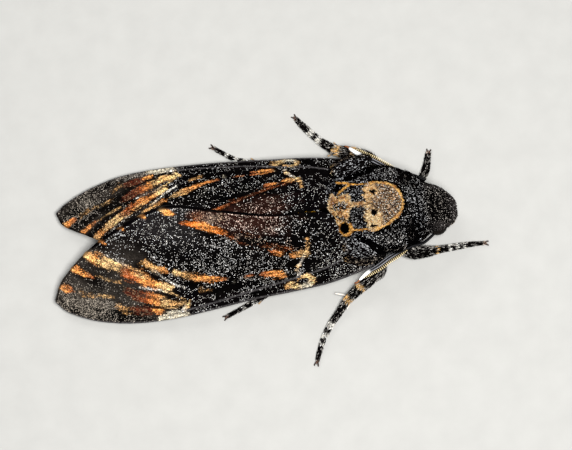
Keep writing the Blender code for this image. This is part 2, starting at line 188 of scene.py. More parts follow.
def noise(points, scale, seed=0):
    """Smooth value noise in 0..1 at (n, 2 or 3) points; scale is the size of one cell."""
    p = np.asarray(points, float) / scale
    if p.shape[1] == 2:
        p = np.column_stack((p, np.zeros(len(p))))
    cell = np.floor(p).astype(np.int64)
    f = p - cell
    f = f * f * (3 - 2 * f)
    out = np.zeros(len(p))
    for a in (0, 1):
        for b in (0, 1):
            for c in (0, 1):
                w = (np.where(a, f[:, 0], 1 - f[:, 0]) * np.where(b, f[:, 1], 1 - f[:, 1])
                     * np.where(c, f[:, 2], 1 - f[:, 2]))
                out += w * lattice(cell[:, 0] + a, cell[:, 1] + b, cell[:, 2] + c, seed)
    return out


def mix(a, b, w):
    """From a to b by w, where each colour is one or per point, and so is w."""
    w = np.asarray(w)[..., None]
    return a * (1 - w) + b * w


def polyline(points, path):
    """Distance from each 2-D point to a path, and how far along it, 0..1, the nearest place is."""
    path = np.array(path, float)
    seg = np.linalg.norm(np.diff(path, axis=0), axis=1)
    start = np.concatenate(([0], np.cumsum(seg)))
    best = np.full(len(points), 1e9)
    place = np.zeros(len(points))
    for k in range(len(seg)):
        a, d = path[k], path[k + 1] - path[k]
        f = np.clip(((points - a) @ d) / max(seg[k] ** 2, 1e-9), 0, 1)
        gap = np.linalg.norm(points - a - f[:, None] * d, axis=1)
        near = gap < best
        best = np.where(near, gap, best)
        place = np.where(near, (start[k] + f * seg[k]) / start[-1], place)
    return best, place


def gap_to(points, path):
    """Distance from each 2-D point to a path."""
    return polyline(points, path)[0]


def aside(points):
    """How far points lie to the left of the bent middle line."""
    return points[:, 1] - bend(points[:, 0])


# ------------------------------------------------------------------ surfaces


def body_section(x):
    """Half width, middle height and half height of the trunk at x, and how far its caps narrow it."""
    half, top, under = at_x(BODY, x)
    q = np.maximum((BODY_REAR + REAR_CAP - x) / REAR_CAP, (x - BODY_FRONT + FRONT_CAP) / FRONT_CAP)
    return half, (top + under) / 2, (top - under) / 2, np.sqrt(np.clip(1 - np.clip(q, 0, 1) ** 2, 1e-4, 1))


def body_point(u, v, inset=0.0):
    """A point of the trunk: u runs tail to head, v once round from the left side over the back."""
    x = BODY_REAR + inset + (BODY_FRONT - BODY_REAR - 2 * inset) * np.asarray(u, float)
    half, mid, high, cap = body_section(x)
    a = 2 * math.pi * np.asarray(v, float)
    c, s = np.cos(a), np.sin(a)
    size = (np.abs(c) ** SECTION_POWER + np.abs(s) ** SECTION_POWER) ** (-1 / SECTION_POWER)
    return np.column_stack((x, bend(x) + (half * cap - inset) * size * c,
                            mid + (high * cap - inset) * size * s))


def inside_body(p, grow=0.0):
    """True for points in the trunk, grown by grow."""
    x = np.clip(p[:, 0], BODY_REAR, BODY_FRONT)
    half, mid, high, cap = body_section(x)
    r = (np.abs((p[:, 1] - bend(x)) / (half * cap + grow)) ** SECTION_POWER
         + np.abs((p[:, 2] - mid) / (high * cap + grow)) ** SECTION_POWER)
    return (r < 1) & (p[:, 0] < BODY_FRONT)


def tube_point(stations, u, v, inset=0.0):
    """A point of a limb: u runs root to tip, v once round it."""
    u = np.asarray(u, float)
    p = along(stations, u)
    ahead = unit(along(stations, u + 0.01)[:, :3] - along(stations, u - 0.01)[:, :3])
    across = unit(np.cross(ahead, np.array([0.0, 0.02, 1.0])))
    up = np.cross(across, ahead)
    a = 2 * math.pi * np.asarray(v, float)[:, None]
    r = np.maximum(0.12, p[:, 3:4] - inset) * np.sqrt(np.clip((1 - u) * 30, 0.02, 1))[:, None]
    q = p[:, :3] + (across * np.cos(a) + up * np.sin(a)) * r
    q[:, 2] = np.maximum(q[:, 2], 0.02)
    return q


def lobe_point(centre, size, roll, yaw, u, v, inset=0.0):
    """A point of a turned ellipsoid: u runs rear to front, v once round it."""
    a, b = math.pi * np.asarray(u, float), 2 * math.pi * np.asarray(v, float)
    x = -(size[0] - inset) * np.cos(a)
    y = (size[1] - inset) * np.sin(a) * np.cos(b)
    z = (size[2] - inset) * np.sin(a) * np.sin(b)
    y, z = y * math.cos(roll) - z * math.sin(roll), y * math.sin(roll) + z * math.cos(roll)
    x, y = x * math.cos(yaw) - y * math.sin(yaw), x * math.sin(yaw) + y * math.cos(yaw)
    return np.column_stack((x, y, z)) + np.array(centre)


def distance_along(stations, t):
    """How many mm along the curve each of the places t is."""
    steps = np.diff(along(stations, t)[:, :3], axis=0)
    return np.concatenate(([0], np.cumsum(np.linalg.norm(steps, axis=1))))


def on_limb(stations, inset=0.0):
    return lambda u, v: tube_point(stations, u, v, inset)


def on_lobe(shape, inset=0.0):
    """A lobe's surface without its very ends."""
    return lambda u, v: lobe_point(*shape, np.clip(u, 0.02, 0.98), v, inset)


def roof(x, y):
    """Height of the folded wings' common roof."""
    ridge, eave, half = at_x(ROOF, x)
    return eave + (ridge - eave) * (1 - np.minimum(1.15, np.abs(y) / half) ** ROOF_ARCH)


def roof_normal(x, y):
    d = 0.05
    gx = (roof(x + d, y) - roof(x - d, y)) / (2 * d)
    gy = (roof(x, y + d) - roof(x, y - d)) / (2 * d)
    return unit(np.column_stack((-gx, -gy, np.ones(len(gx)))))


# The front edge of each forewing as y over x, and its inner and outer margin.
COSTA = {}
for side, rows in FOREWING.items():
    edge = along(rows, np.linspace(0, 1, 600))
    order = np.argsort(edge[:, 0])
    COSTA[side] = (edge[order, 0], edge[order, 1])
MARGIN = {side: along(rows, np.linspace(0, 1, 60))[:, 2:4] for side, rows in FOREWING.items()}


def wing_place(side, x, y):
    """Distance out from the hinge and in from the costa, both as on the upper (right) wing."""
    q = (np.interp(x, *COSTA[side]) - y) * side
    if side > 0:
        return (11.0 - x) * 1.038, np.where(q < 11, q * (0.95 + 0.028 * q), q + 2.9)
    return 11.0 - x, q


# Veins of a forewing as (out, in) from the hinge: the flutes between them show at the margin.
VEINS = (
    ((3, 2.9), (8, 2.25), (16, 1.6), (25, 1.05), (34, 0.9), (44, 0.7)),
    ((3, 3.3), (12, 2.9), (24, 2.6), (36, 1.9), (47, 1.1)),
    ((24, 2.7), (38, 2.8), (51, 2.2)),
    ((24, 2.9), (38, 4.6), (54.0, 5.9)),
    ((24, 5.0), (38, 5.6), (52.0, 8.9)),
    ((24, 6.4), (37, 8.3), (49.6, 12.2)),
    ((22, 7.2), (36, 10.8), (46.6, 14.0)),
    ((18, 6.6), (32, 12.4), (43.2, 16.0)),
    ((3, 3.6), (9, 4.9), (24, 11.4), (33.5, 15.9), (39.2, 17.6)),
    ((3, 4.4), (8, 7.4), (20, 12.6), (31, 17.4), (35.0, 18.8)),
)


def wing_relief(p, q):
    """Height of the veins and of the flutes between them, in mm."""
    pts = np.column_stack((p, q))
    gap = np.full(len(p), 9.0)
    for path in VEINS:
        gap = np.minimum(gap, gap_to(pts, path))
    flute = step(0.0, 1.2, gap) * (0.35 + 0.65 * step(16, 38, p))
    costa = step(0.5, 0.1, q)
    return 0.09 * np.exp(-(gap / 0.2) ** 2) - 0.17 * flute + 0.1 * costa


def forewing_point(side, u, v, face=1):
    """A point of a forewing: u runs hinge to apex, v from the costa in, face +1 above, -1 below."""
    row = along(FOREWING[side], u)
    v = np.asarray(v, float)
    x = row[:, 0] + (row[:, 2] - row[:, 0]) * v
    y = row[:, 1] + (row[:, 3] - row[:, 1]) * v
    lift = OVERLAP_LIFT * step(-8.4, -4.7, y) if side < 0 else np.zeros(len(x))
    p, q = wing_place(side, x, y)
    edge = np.minimum.reduce((v * 12, (1 - v) * 12, np.full(len(v), 1.0)))
    half = 0.2 * np.clip(edge, 0.15, 1)
    n = roof_normal(x, y)
    mid = np.column_stack((x, y, roof(x, y))) + n * (lift + wing_relief(p, q))[:, None]
    return mid + n * (face * half)[:, None]


def hindwing_point(side, u, v, face=1):
    """A point of a hindwing, which lies under the forewing, with the same u, v and face."""
    row = along([(a, b * side, c, d * side) for a, b, c, d in HINDWING], u)
    v = np.asarray(v, float)
    x = row[:, 0] + (row[:, 2] - row[:, 0]) * v
    y = row[:, 1] + (row[:, 3] - row[:, 1]) * v
    n = roof_normal(x, y)
    ripple = 0.05 * np.sin(x * 2.1 + y * 1.2)
    return np.column_stack((x, y, roof(x, y))) + n * (-HIND_DROP + ripple + face * 0.13)[:, None]


# ------------------------------------------------------------------ colours
BLACK, SOOT, SLATE = srgb(4, 3, 4), srgb(14, 11, 10), srgb(70, 66, 66)
WHITE, BLUEWHITE, CREAM = srgb(238, 230, 218), srgb(186, 190, 198), srgb(236, 190, 130)
TAN, ORANGE, BRIGHT = srgb(216, 160, 98), srgb(232, 146, 74), srgb(230, 120, 38)
RUST, MAROON, BROWN = srgb(152, 76, 36), srgb(78, 32, 19), srgb(40, 21, 16)
GOLD, PINKISH, CHALK = srgb(204, 148, 30), srgb(184, 156, 138), srgb(226, 214, 190)

# Lines that the forewing's streaks follow: distance in from the costa at distances out from the hinge.
FLOW_OUT = (0, 12, 24, 34, 41, 48, 54)
FLOW_IN = (
    (0.0, 0.0, 0.0, 0.0, 0.0, 0.0, 0.0),
    (0.6, 0.8, 0.8, 1.1, 2.1, 3.2, 4.0),
    (1.0, 1.5, 1.6, 2.1, 4.7, 7.0, 9.2),
    (1.5, 2.8, 3.7, 4.5, 8.1, 11.3, 14.5),
    (2.0, 4.2, 7.0, 9.8, 12.5, 15.0, 17.5),
    (2.6, 5.4, 10.8, 15.6, 17.5, 19.0, 20.5),
    (4.5, 9.5, 15.5, 19.0, 20.5, 21.5, 22.5),
)


def flow(p, q):
    """A coordinate across the wing that stays the same along each streak, in steps of one line."""
    lines = np.array([np.interp(p, FLOW_OUT, row) for row in FLOW_IN])
    out = np.zeros(len(p))
    for k in range(len(lines) - 1):
        out += np.clip((q - lines[k]) / (lines[k + 1] - lines[k]), 0, 1)
    return out + np.maximum(0, q - lines[-1]) / 3


def streak_lie(side, root):
    """Direction along the streaks at roots on a forewing."""
    x = root[:, 0]
    p, q = wing_place(side, x, root[:, 1])
    dp = (flow(p + 0.4, q) - flow(p - 0.4, q)) / 0.8
    dq = (flow(p, q + 0.2) - flow(p, q - 0.2)) / 0.4
    slope = -dp / np.maximum(dq, 0.05)
    costa = (np.interp(x - 0.5, *COSTA[side]) - np.interp(x + 0.5, *COSTA[side]))
    return unit(np.column_stack((-np.ones(len(x)), costa - side * slope, np.zeros(len(x)))))


# Streaks of a forewing: path as (out, in), half widths along it, colours along it, raggedness, strength.
STREAKS = (
    (((28.4, 15.2), (26, 14.2), (23.5, 13.2)), (0.9, 1.3, 0.7), (RUST, PINKISH * 0.8, BROWN), 0.9, 0.55),
    (((31.2, 14.8), (29.3, 14.0), (27.2, 12.9), (25.2, 11.7), (22.5, 10.2)), (0.25, 0.5, 0.6, 0.55, 0.35),
     (MAROON, BRIGHT, ORANGE, BRIGHT, MAROON), 0.5, 1.0),
    (((23.0, 10.3), (19.0, 8.3), (15.0, 6.6), (11.5, 6.0)), (0.5, 0.75, 0.8, 0.8),
     (RUST, MAROON, RUST, RUST), 1.3, 0.6),
    (((16.6, 6.2), (14.8, 5.7)), (0.35, 0.35), (RUST, ORANGE), 0.9, 0.9),
    (((13.2, 5.2), (11.8, 5.1), (10.7, 4.8)), (0.45, 0.6, 0.5), (ORANGE, TAN, CREAM), 0.8, 1.0),
    (((10.2, 7.3), (10.3, 6.2), (10.8, 5.0), (12.0, 3.8), (12.8, 2.9), (12.4, 2.2)),
     (0.28, 0.4, 0.3, 0.22, 0.3, 0.3), (TAN, TAN, CREAM, WHITE, CREAM, WHITE), 0.8, 0.95),
    (((14.9, 0.9), (14.1, 1.1), (13.3, 0.7), (12.3, 0.45), (11.2, 0.5), (10.3, 1.0), (10.9, 1.75),
      (12.0, 1.8), (12.8, 1.5)),
     (0.4, 0.5, 0.4, 0.3, 0.45, 0.5, 0.36, 0.24, 0.2),
     (TAN, CREAM, CREAM, CHALK, CHALK, CREAM, CREAM, CREAM, TAN), 0.5, 1.0),
    (((21.6, 3.5), (20.2, 3.4)), (0.3, 0.3), (RUST, RUST), 1.2, 0.7),
    (((18.6, 3.2), (16.8, 3.0), (14.9, 2.6)), (0.45, 0.55, 0.5), (RUST, ORANGE, ORANGE), 0.7, 0.95),
    (((33.2, 6.9), (31.0, 6.0), (28.5, 5.0), (26.5, 4.3), (24.6, 4.0)), (0.5, 0.62, 0.55, 0.4, 0.25),
     (CREAM, TAN, ORANGE, ORANGE, RUST), 0.6, 0.95),
    (((29.6, 3.5), (27.5, 2.9)), (0.3, 0.3), (TAN, TAN), 1.3, 0.6),
    (((38.4, 9.4), (36.4, 8.3), (34.4, 7.2)), (0.45, 0.55, 0.45), (TAN, TAN, ORANGE), 1.5, 0.75),
    (((39.6, 5.6), (36.4, 4.9), (33.6, 3.5), (32.4, 2.6)), (0.16, 0.18, 0.22, 0.3),
     (WHITE, WHITE, CREAM, CREAM), 0.8, 0.9),
    (((37.2, 8.2), (35.4, 6.6), (33.6, 5.2), (32.0, 4.3)), (0.2, 0.22, 0.25, 0.2),
     (CREAM, WHITE, WHITE, WHITE), 1.0, 0.85),
    (((48.2, 11.5), (46.4, 10.6), (44.4, 9.6)), (0.9, 0.85, 0.9), (CREAM, ORANGE, ORANGE), 0.5, 1.0),
    (((45.2, 10.0), (43.4, 9.2), (41.6, 8.4)), (0.95, 0.9, 0.7), (CREAM, CREAM, CREAM), 0.6, 1.0),
    (((41.8, 8.3), (40.2, 7.5), (38.4, 6.6), (36.6, 5.7)), (0.85, 0.98, 0.85, 0.7),
     (RUST, RUST, ORANGE, RUST), 0.5, 1.0),
    (((40.6, 8.2), (38.6, 7.2), (37.2, 6.6)), (0.3, 0.28, 0.2), (ORANGE, CREAM, ORANGE), 0.7, 0.8),
    (((36.8, 5.9), (35.4, 5.2), (34.0, 4.8)), (0.6, 0.66, 0.45), (ORANGE, CREAM, CREAM), 0.6, 1.0),
    (((44.6, 11.3), (42.8, 10.3), (40.8, 9.0), (38.6, 7.9)), (0.12, 0.14, 0.14, 0.12),
     (WHITE, WHITE, TAN, CREAM), 0.9, 0.85),
    (((46.8, 7.6), (44.6, 6.9), (42.4, 6.6)), (0.18, 0.2, 0.2), (TAN, CREAM, TAN), 1.3, 0.6),
    (((51.6, 8.5), (50.2, 8.2), (48.4, 7.7), (47.2, 7.3)), (0.5, 0.62, 0.5, 0.3),
     (CREAM, ORANGE, ORANGE, RUST), 0.5, 1.0),
    (((42.0, 5.2), (40.2, 4.5), (38.0, 3.7)), (0.45, 0.8, 0.75), (MAROON, MAROON, RUST), 0.5, 1.0),
    (((38.6, 4.0), (37.0, 3.3), (35.6, 2.8)), (0.7, 0.8, 0.75), (RUST, ORANGE, TAN), 0.6, 1.0),
    (((35.8, 2.8), (34.0, 2.3), (32.2, 2.2)), (0.65, 0.6, 0.4), (CREAM, TAN, CREAM), 0.8, 0.95),
    (((54.2, 3.7), (52.6, 4.0), (51.0, 4.3)), (0.5, 0.62, 0.35), (CREAM, ORANGE, RUST), 0.5, 1.0),
    (((49.6, 4.5), (48.0, 4.2), (46.4, 4.3), (44.0, 4.4)), (0.5, 0.45, 0.3, 0.25),
     (TAN, TAN, CREAM, TAN), 1.6, 0.6),
    (((43.6, 2.6), (42.3, 2.0)), (0.5, 0.5), (TAN, TAN), 1.5, 0.65),
    (((41.4, 2.2), (39.6, 2.0), (38.0, 1.8)), (0.5, 0.66, 0.55), (MAROON, MAROON, MAROON), 0.5, 1.0),
    (((37.9, 1.7), (36.5, 1.3)), (0.3, 0.4), (ORANGE, ORANGE), 0.7, 0.95),
    (((37.2, 0.35), (35.5, 0.4), (33.6, 0.45), (32.2, 0.35)), (0.25, 0.5, 0.66, 0.4),
     (CHALK,) * 2, 1.1, 0.85),
    (((32.9, 0.9), (31.9, 1.5), (31.4, 2.2)), (0.3, 0.3, 0.25), (WHITE, CREAM, CREAM), 1.0, 0.9),
    (((34.2, 18.2), (33.2, 17.3), (32.0, 16.5)), (0.45, 0.62, 0.3), (CREAM, ORANGE, ORANGE), 0.3, 1.0),
    (((38.0, 18.0), (37.3, 17.4), (36.8, 16.9)), (0.42, 0.34, 0.14), (CREAM, ORANGE, ORANGE), 0.2, 1.0),
    (((41.9, 16.4), (41.2, 15.8), (40.7, 15.3)), (0.42, 0.34, 0.14), (CREAM, ORANGE, ORANGE), 0.2, 1.0),
    (((45.8, 14.2), (44.9, 13.5), (44.1, 13.0)), (0.42, 0.36, 0.14), (CREAM, ORANGE, ORANGE), 0.2, 1.0),
    (((23.5, 3.3), (23.52, 3.3)), (0.36, 0.36), (CHALK,) * 2, 0.1, 1.0),
)
# The brown, grizzled patch along the inner margin: path, half widths.
REAR_PATCH = (((29, 15.6), (26, 14.6), (20, 12.6), (15, 11.0), (11.5, 10.0)), (1.0, 2.2, 2.8, 2.6, 1.6))
# Places with hardly any light scales: path, half width.
GAPS = (
    (((40.8, 11.2), (39.2, 10.4), (38.2, 9.9)), 1.0),
    (((25.6, 12.4), (20.0, 9.5), (12.0, 7.9), (10.0, 7.7)), 0.16), (((20.2, 0.6), (18.6, 0.6)), 0.5),
    (((14.8, 0.9), (14.0, 1.5)), 0.4), (((9.8, 0.8), (8.2, 0.9)), 0.6),
    (((30.5, 3.0), (24.5, 2.6), (20.0, 2.4)), 0.4), (((13.6, 3.9), (9.0, 3.5)), 0.6),
    (((29.0, 1.6), (25.5, 0.35)), 0.3), (((31.6, 5.0), (30.2, 4.6)), 0.5),
)
SUBCOSTA = (
    (3.0, 2.9), (5.5, 2.6), (8.0, 2.25), (12.0, 1.9), (16.0, 1.6), (20.0, 1.25), (25.0, 1.05), (30.0, 0.9),
    (34.0, 0.9),
)


def ramp(values, t):
    """Colours or numbers spaced evenly along 0..1, read at t."""
    c = np.array(values, float)
    k = np.clip(t, 0, 1) * (len(c) - 1)
    i = np.clip(np.floor(k).astype(int), 0, len(c) - 2)
    f = (k - i)[:, None] if c.ndim > 1 else k - i
    return c[i] * (1 - f) + c[i + 1] * f


def forewing_marks(side, pts):
    """Dark ground, marking colour and cover, share of light scales and their colour, on a forewing."""
    x, y = pts[:, 0], pts[:, 1]
    n = len(x)
    p, q = wing_place(side, x, y)
    bank = flow(p, q)
    place = np.column_stack((p, q))
    pq = place + side * 30
    grain = np.column_stack((p * 0.22, bank * 2.4)) + side * 40
    rag = noise(grain, 0.16, 3) * 0.4 + noise(grain, 0.4, 4) * 0.35 + noise(grain, 0.9, 5) * 0.25
    fibre = noise(np.column_stack((p * 0.3, bank * 9)) + side * 7, 1.0, 11)
    dark = mix(BLACK * 0.6, SOOT, noise(pq, 2.6, 5) * 0.5)
    tone = mix(WHITE, BLUEWHITE, noise(pq, 3.0, 8) * 0.4)
    # How thick the light scales lie: even inward, in patches farther out.
    outer = step(34.0, 37.5, p + 0.5 * (6 - q))
    streaky = step(3.7, 3.1, bank) * outer
    # The left wing (side > 0) gets fewer light scales than the right: painted shade, as it lies turned from
    # the key light.
    light = (0.215 if side < 0 else 0.135) - 0.03 * step(14, 26, p)
    light = light * (1 - 0.2 * streaky) * (1 - 0.3 * outer * step(3.0, 3.6, bank) * step(43, 45.5, p))
    apex = (step(4.4, 2.2, q) * step(39, 51, p)
            + 0.7 * step(0.5, 0.9, bank) * step(1.9, 1.3, bank) * step(43, 50, p))
    apex = np.clip(apex * 1.15, 0, 1) * (1.0 if side < 0 else 0.6)
    light = np.maximum(light, 0.9 * apex)
    dark = mix(dark, srgb(92, 83, 73), apex * 0.95)
    tone = mix(tone, srgb(200, 188, 168), apex)
    shoulder = step(1.5, 0.5, q) * step(35, 39, p) * step(54.5, 51, p)
    light = np.maximum(light, shoulder * (0.85 if side > 0 else 0.5))
    dark = mix(dark, srgb(64, 62, 60), shoulder * 0.8)
    dusk = step(26.5, 31.0, p) * step(4.1, 4.7, bank) * step(41, 37, p)
    dark = mix(dark, SLATE * 0.3, dusk * 0.8)
    drift = 0.4 * step(0.35, 0.8, noise(grain, 1.1, 14)) * (0.3 + 0.8 * noise(pq, 2.2, 15))
    smoke = srgb(92, 84, 76) * (0.03 + drift)[:, None]
    dark = mix(dark, smoke, np.clip(streaky + 0.6 * outer * step(3.0, 3.6, bank), 0, 1))
    tone = mix(tone, srgb(142, 132, 120), streaky * 0.85)
    light = light * (0.1 + 1.6 * noise(pq, 0.8, 6)) * (0.3 + 1.3 * noise(pq, 3.0, 7))
    # The veins along the front edge, grey with no light scales: painted highlight on their ridges.
    gap_sc = gap_to(place, SUBCOSTA)
    front = np.maximum(step(0.26, 0.14, q), step(0.17, 0.08, gap_sc))
    front = front * (1 - step(31.5, 32.5, p) * step(38, 37, p) * (q < 0.34))
    dark = mix(dark, srgb(92, 88, 88) * (0.6 + 0.5 * noise(pq, 0.5, 10))[:, None], front * 0.85)
    light = light * (1 - front)
    colour, cover = np.zeros((n, 3)), np.zeros(n)
    hem = gap_to(pts[:, :2], MARGIN[side])
    # Painted shadow: black along the middle line at the wing bases, where they meet behind the thorax.
    furrow_shadow = step(-1.5, 2.5, x) * step(1.2, 0.5, np.abs(y - 0.1 + 0.4 * (rag - 0.5))) * 0.85
    # The brown patch, the streaks over it, the dark outer edge, and painted shade along the right wing's
    # inner edge.
    gap, t = polyline(place, REAR_PATCH[0])
    rear = (step(1.3, 0.5, gap / ramp(REAR_PATCH[1], t) + (rag - 0.5) * 0.9)
            * step(1.02, 0.72, t + 0.3 * (rag - 0.5)))
    tone = mix(tone, srgb(214, 184, 168), rear)
    light = light * (1 + 0.6 * rear)
    dark = mix(dark, BROWN * (0.5 + 1.1 * noise(grain, 0.5, 13))[:, None], rear * 0.9)
    for path, halves, colours, ragged, strength in STREAKS:
        gap, t = polyline(place, path)
        edge = gap / (ramp(halves, t) * (1.08 + 0.2 * outer))
        body = step(1.35, 0.5, edge + (rag - 0.5) * (0.7 + ragged * 1.5)) * step(2.2, 1.5, edge) * strength
        body = body * step(-0.02, 0.08, t + 0.1 * rag) * step(1.02, 0.92, t - 0.1 * rag)
        colour = mix(colour, ramp(colours, t), body)
        cover = np.maximum(cover * (1 - body), body)
        light = light * (1 - 0.85 * body)
        tone = mix(tone, mix(ramp(colours, t), CREAM, 0.35), body)
    light = light * (1 - furrow_shadow)
    outer_hem = step(0.34, 0.16, hem) * step(-21, -23, x)
    light = light * (1 - 0.85 * outer_hem)
    cover = cover * (1 - 0.5 * outer_hem)
    # Painted shade: a dark line along the right wing's inner margin, where it lies raised over the left wing.
    inner_hem_shade = step(0.34, 0.2, hem) * (side < 0) * (x > -36) * (x < 0)
    light = light * (1 - inner_hem_shade)
    bead = step(0.12, 0.04, np.abs(hem - 0.45)) * (side < 0) * (x > -36) * (x < -1) * (rag > 0.42)
    light = np.maximum(light, 0.9 * bead)
    dark = mix(dark, BLACK, np.maximum(inner_hem_shade, furrow_shadow))
    for path, half in GAPS:
        light = light * (1 - 0.9 * stroke(place, path, half, (1.2, 0.6), (rag - 0.5) * 0.8))
    # The left wing's rear part is redder, and the inner half of both is duller and more broken up.
    if side > 0:
        colour = mix(colour, MAROON, 0.75 * step(9.0, 10.5, q) * step(32, 30, p))
    inward = step(26, 23, p)
    cover = np.clip(cover * 1.15 - (0.38 + 0.3 * inward) * step(0.6, 0.3, fibre), 0, 1)
    colour = colour * (1 - 0.15 * inward)[:, None]
    colour = colour * (0.75 + 0.8 * step(0.35, 0.8, fibre) + 0.35 * noise(grain, 0.22, 12))[:, None]
    return dark, colour, cover, np.clip(light, 0, 1), tone


# The skull mark on the thorax, in (x, y) about the middle line.
CRANIUM = (
    (11.23, 3.16), (11.7, 3.48), (12.5, 3.82), (13.53, 3.96), (14.51, 3.8), (15.46, 3.52), (16.24, 3.16),
    (16.91, 2.62), (17.39, 1.92), (17.64, 1.19), (17.67, 0.32), (17.48, -0.71), (17.11, -1.48),
    (16.59, -2.15), (15.92, -2.73), (15.1, -3.21), (14.53, -3.67), (13.81, -4.02), (12.94, -4.28),
    (12.09, -4.37), (11.28, -4.22), (10.88, -3.78), (10.78, -2.88), (10.82, -1.74), (11.0, -0.75),
    (10.91, -0.06), (10.98, 0.62), (10.92, 1.15), (11.19, 1.82), (11.1, 2.54),
)
JAW = (
    (4.87, 0.93), (5.3, 1.95), (5.66, 2.69), (6.15, 2.64), (6.47, 1.96), (6.96, 2.12), (7.48, 2.21),
    (8.58, 2.28), (8.79, 1.76), (8.79, 1.06), (8.97, 0.6), (10.01, 0.65), (11.12, 0.78), (10.95, -0.32),
    (9.88, -0.2), (8.92, -0.16), (8.53, -0.61), (8.31, -1.42), (8.08, -2.41), (7.23, -2.24), (6.58, -2.62),
    (5.63, -2.77), (5.47, -2.21), (5.4, -1.53), (5.11, -0.4), (4.62, 0.37),
)
WEDGE = (
    (3.01, 1.29), (3.71, 1.4), (4.74, 1.45), (4.78, 0.53), (5.12, -0.61), (5.43, -1.87), (5.61, -2.6),
    (5.09, -2.13), (4.46, -0.41), (3.52, 0.15),
)
BLOB = (
    (6.67, 4.18), (7.28, 4.28), (7.96, 3.94), (7.99, 3.66), (7.36, 3.12), (6.78, 2.65), (6.45, 2.72),
    (6.36, 3.23),
)
# Lines of golden hairs beside the skull: path, half width.
GOLD_LINES = (
    (((6.88, 2.31), (7.39, 2.74), (7.97, 3.13), (8.47, 3.41), (8.86, 3.75), (8.8, 4.05), (7.87, 4.27),
      (7.07, 4.54)), 0.21),
    (((8.92, 3.94), (9.97, 3.67), (11.46, 3.56), (12.49, 3.75)), 0.11),
    (((8.48, -3.96), (9.64, -4.0), (10.98, -4.04), (12.29, -4.18)), 0.13),
)
# Black ovals of the mark, eye sockets first: centre x, y, half lengths.
BLACK_SPOTS = (
    (12.85, 2.12, 0.5, 0.3), (12.35, 2.3, 0.3, 0.2), (12.8, 1.7, 0.12, 0.35), (12.46, -1.4, 0.54, 0.55),
    (12.0, -3.62, 0.58, 0.24), (7.22, -3.42, 0.8, 0.86),
)
# Painted shadow in the furrows between the thorax and the tegulae, right and left.
FURROW_SHADOW_RIGHT = ((9.1, -5.1), (10.5, -6.1), (11.7, -7.0), (12.9, -7.55), (14.2, -7.5), (15.8, -6.8))
FURROW_SHADOW_RIGHT_WIDTH = (0.3, 0.62, 0.85, 0.72, 0.4, 0.22)
FURROW_SHADOW_LEFT, FURROW_SHADOW_LEFT_WIDTH = ((8.6, 4.95), (9.4, 5.15), (11.5, 5.7), (14.0, 6.9)), 0.5
# Blue-grey strokes beside the jaw, and gold wisps behind it as path, half width, fade.
GREY_LINES = (((6.19, -1.32), (8.02, -2.53)), ((6.74, 1.77), (7.88, 2.64)))
WISP_RIGHT = (((3.46, -0.26), (4.43, -0.65), (5.0, -2.3)), 0.42, (1.2, 0.5))
WISP_LEFT = (((3.7, 1.5), (3.5, 0.7)), 0.2, (1.2, 0.6))
# Length of one ring of the abdomen.
RING_LENGTH = 4.15


def outline(points, corners):
    """Signed distance from points to a closed shape, negative inside."""
    gap = gap_to(points, tuple(corners) + (corners[0],))
    inside = np.zeros(len(points), bool)
    x, y = points[:, 0], points[:, 1]
    for (ax, ay), (bx, by) in zip(corners, corners[1:] + corners[:1]):
        inside ^= ((ay > y) != (by > y)) & (x < (bx - ax) * (y - ay) / (by - ay + 1e-12) + ax)
    return np.where(inside, -gap, gap)


def stroke(points, path, half, fade, rag=0.0):
    """Cover of a line along path, full inside fade[1] half widths and none outside fade[0]."""
    return step(*fade, gap_to(points, path) / half + rag)


def oval(x, y, cx, cy, rx, ry):
    return np.hypot((x - cx) / rx, (y - cy) / ry)


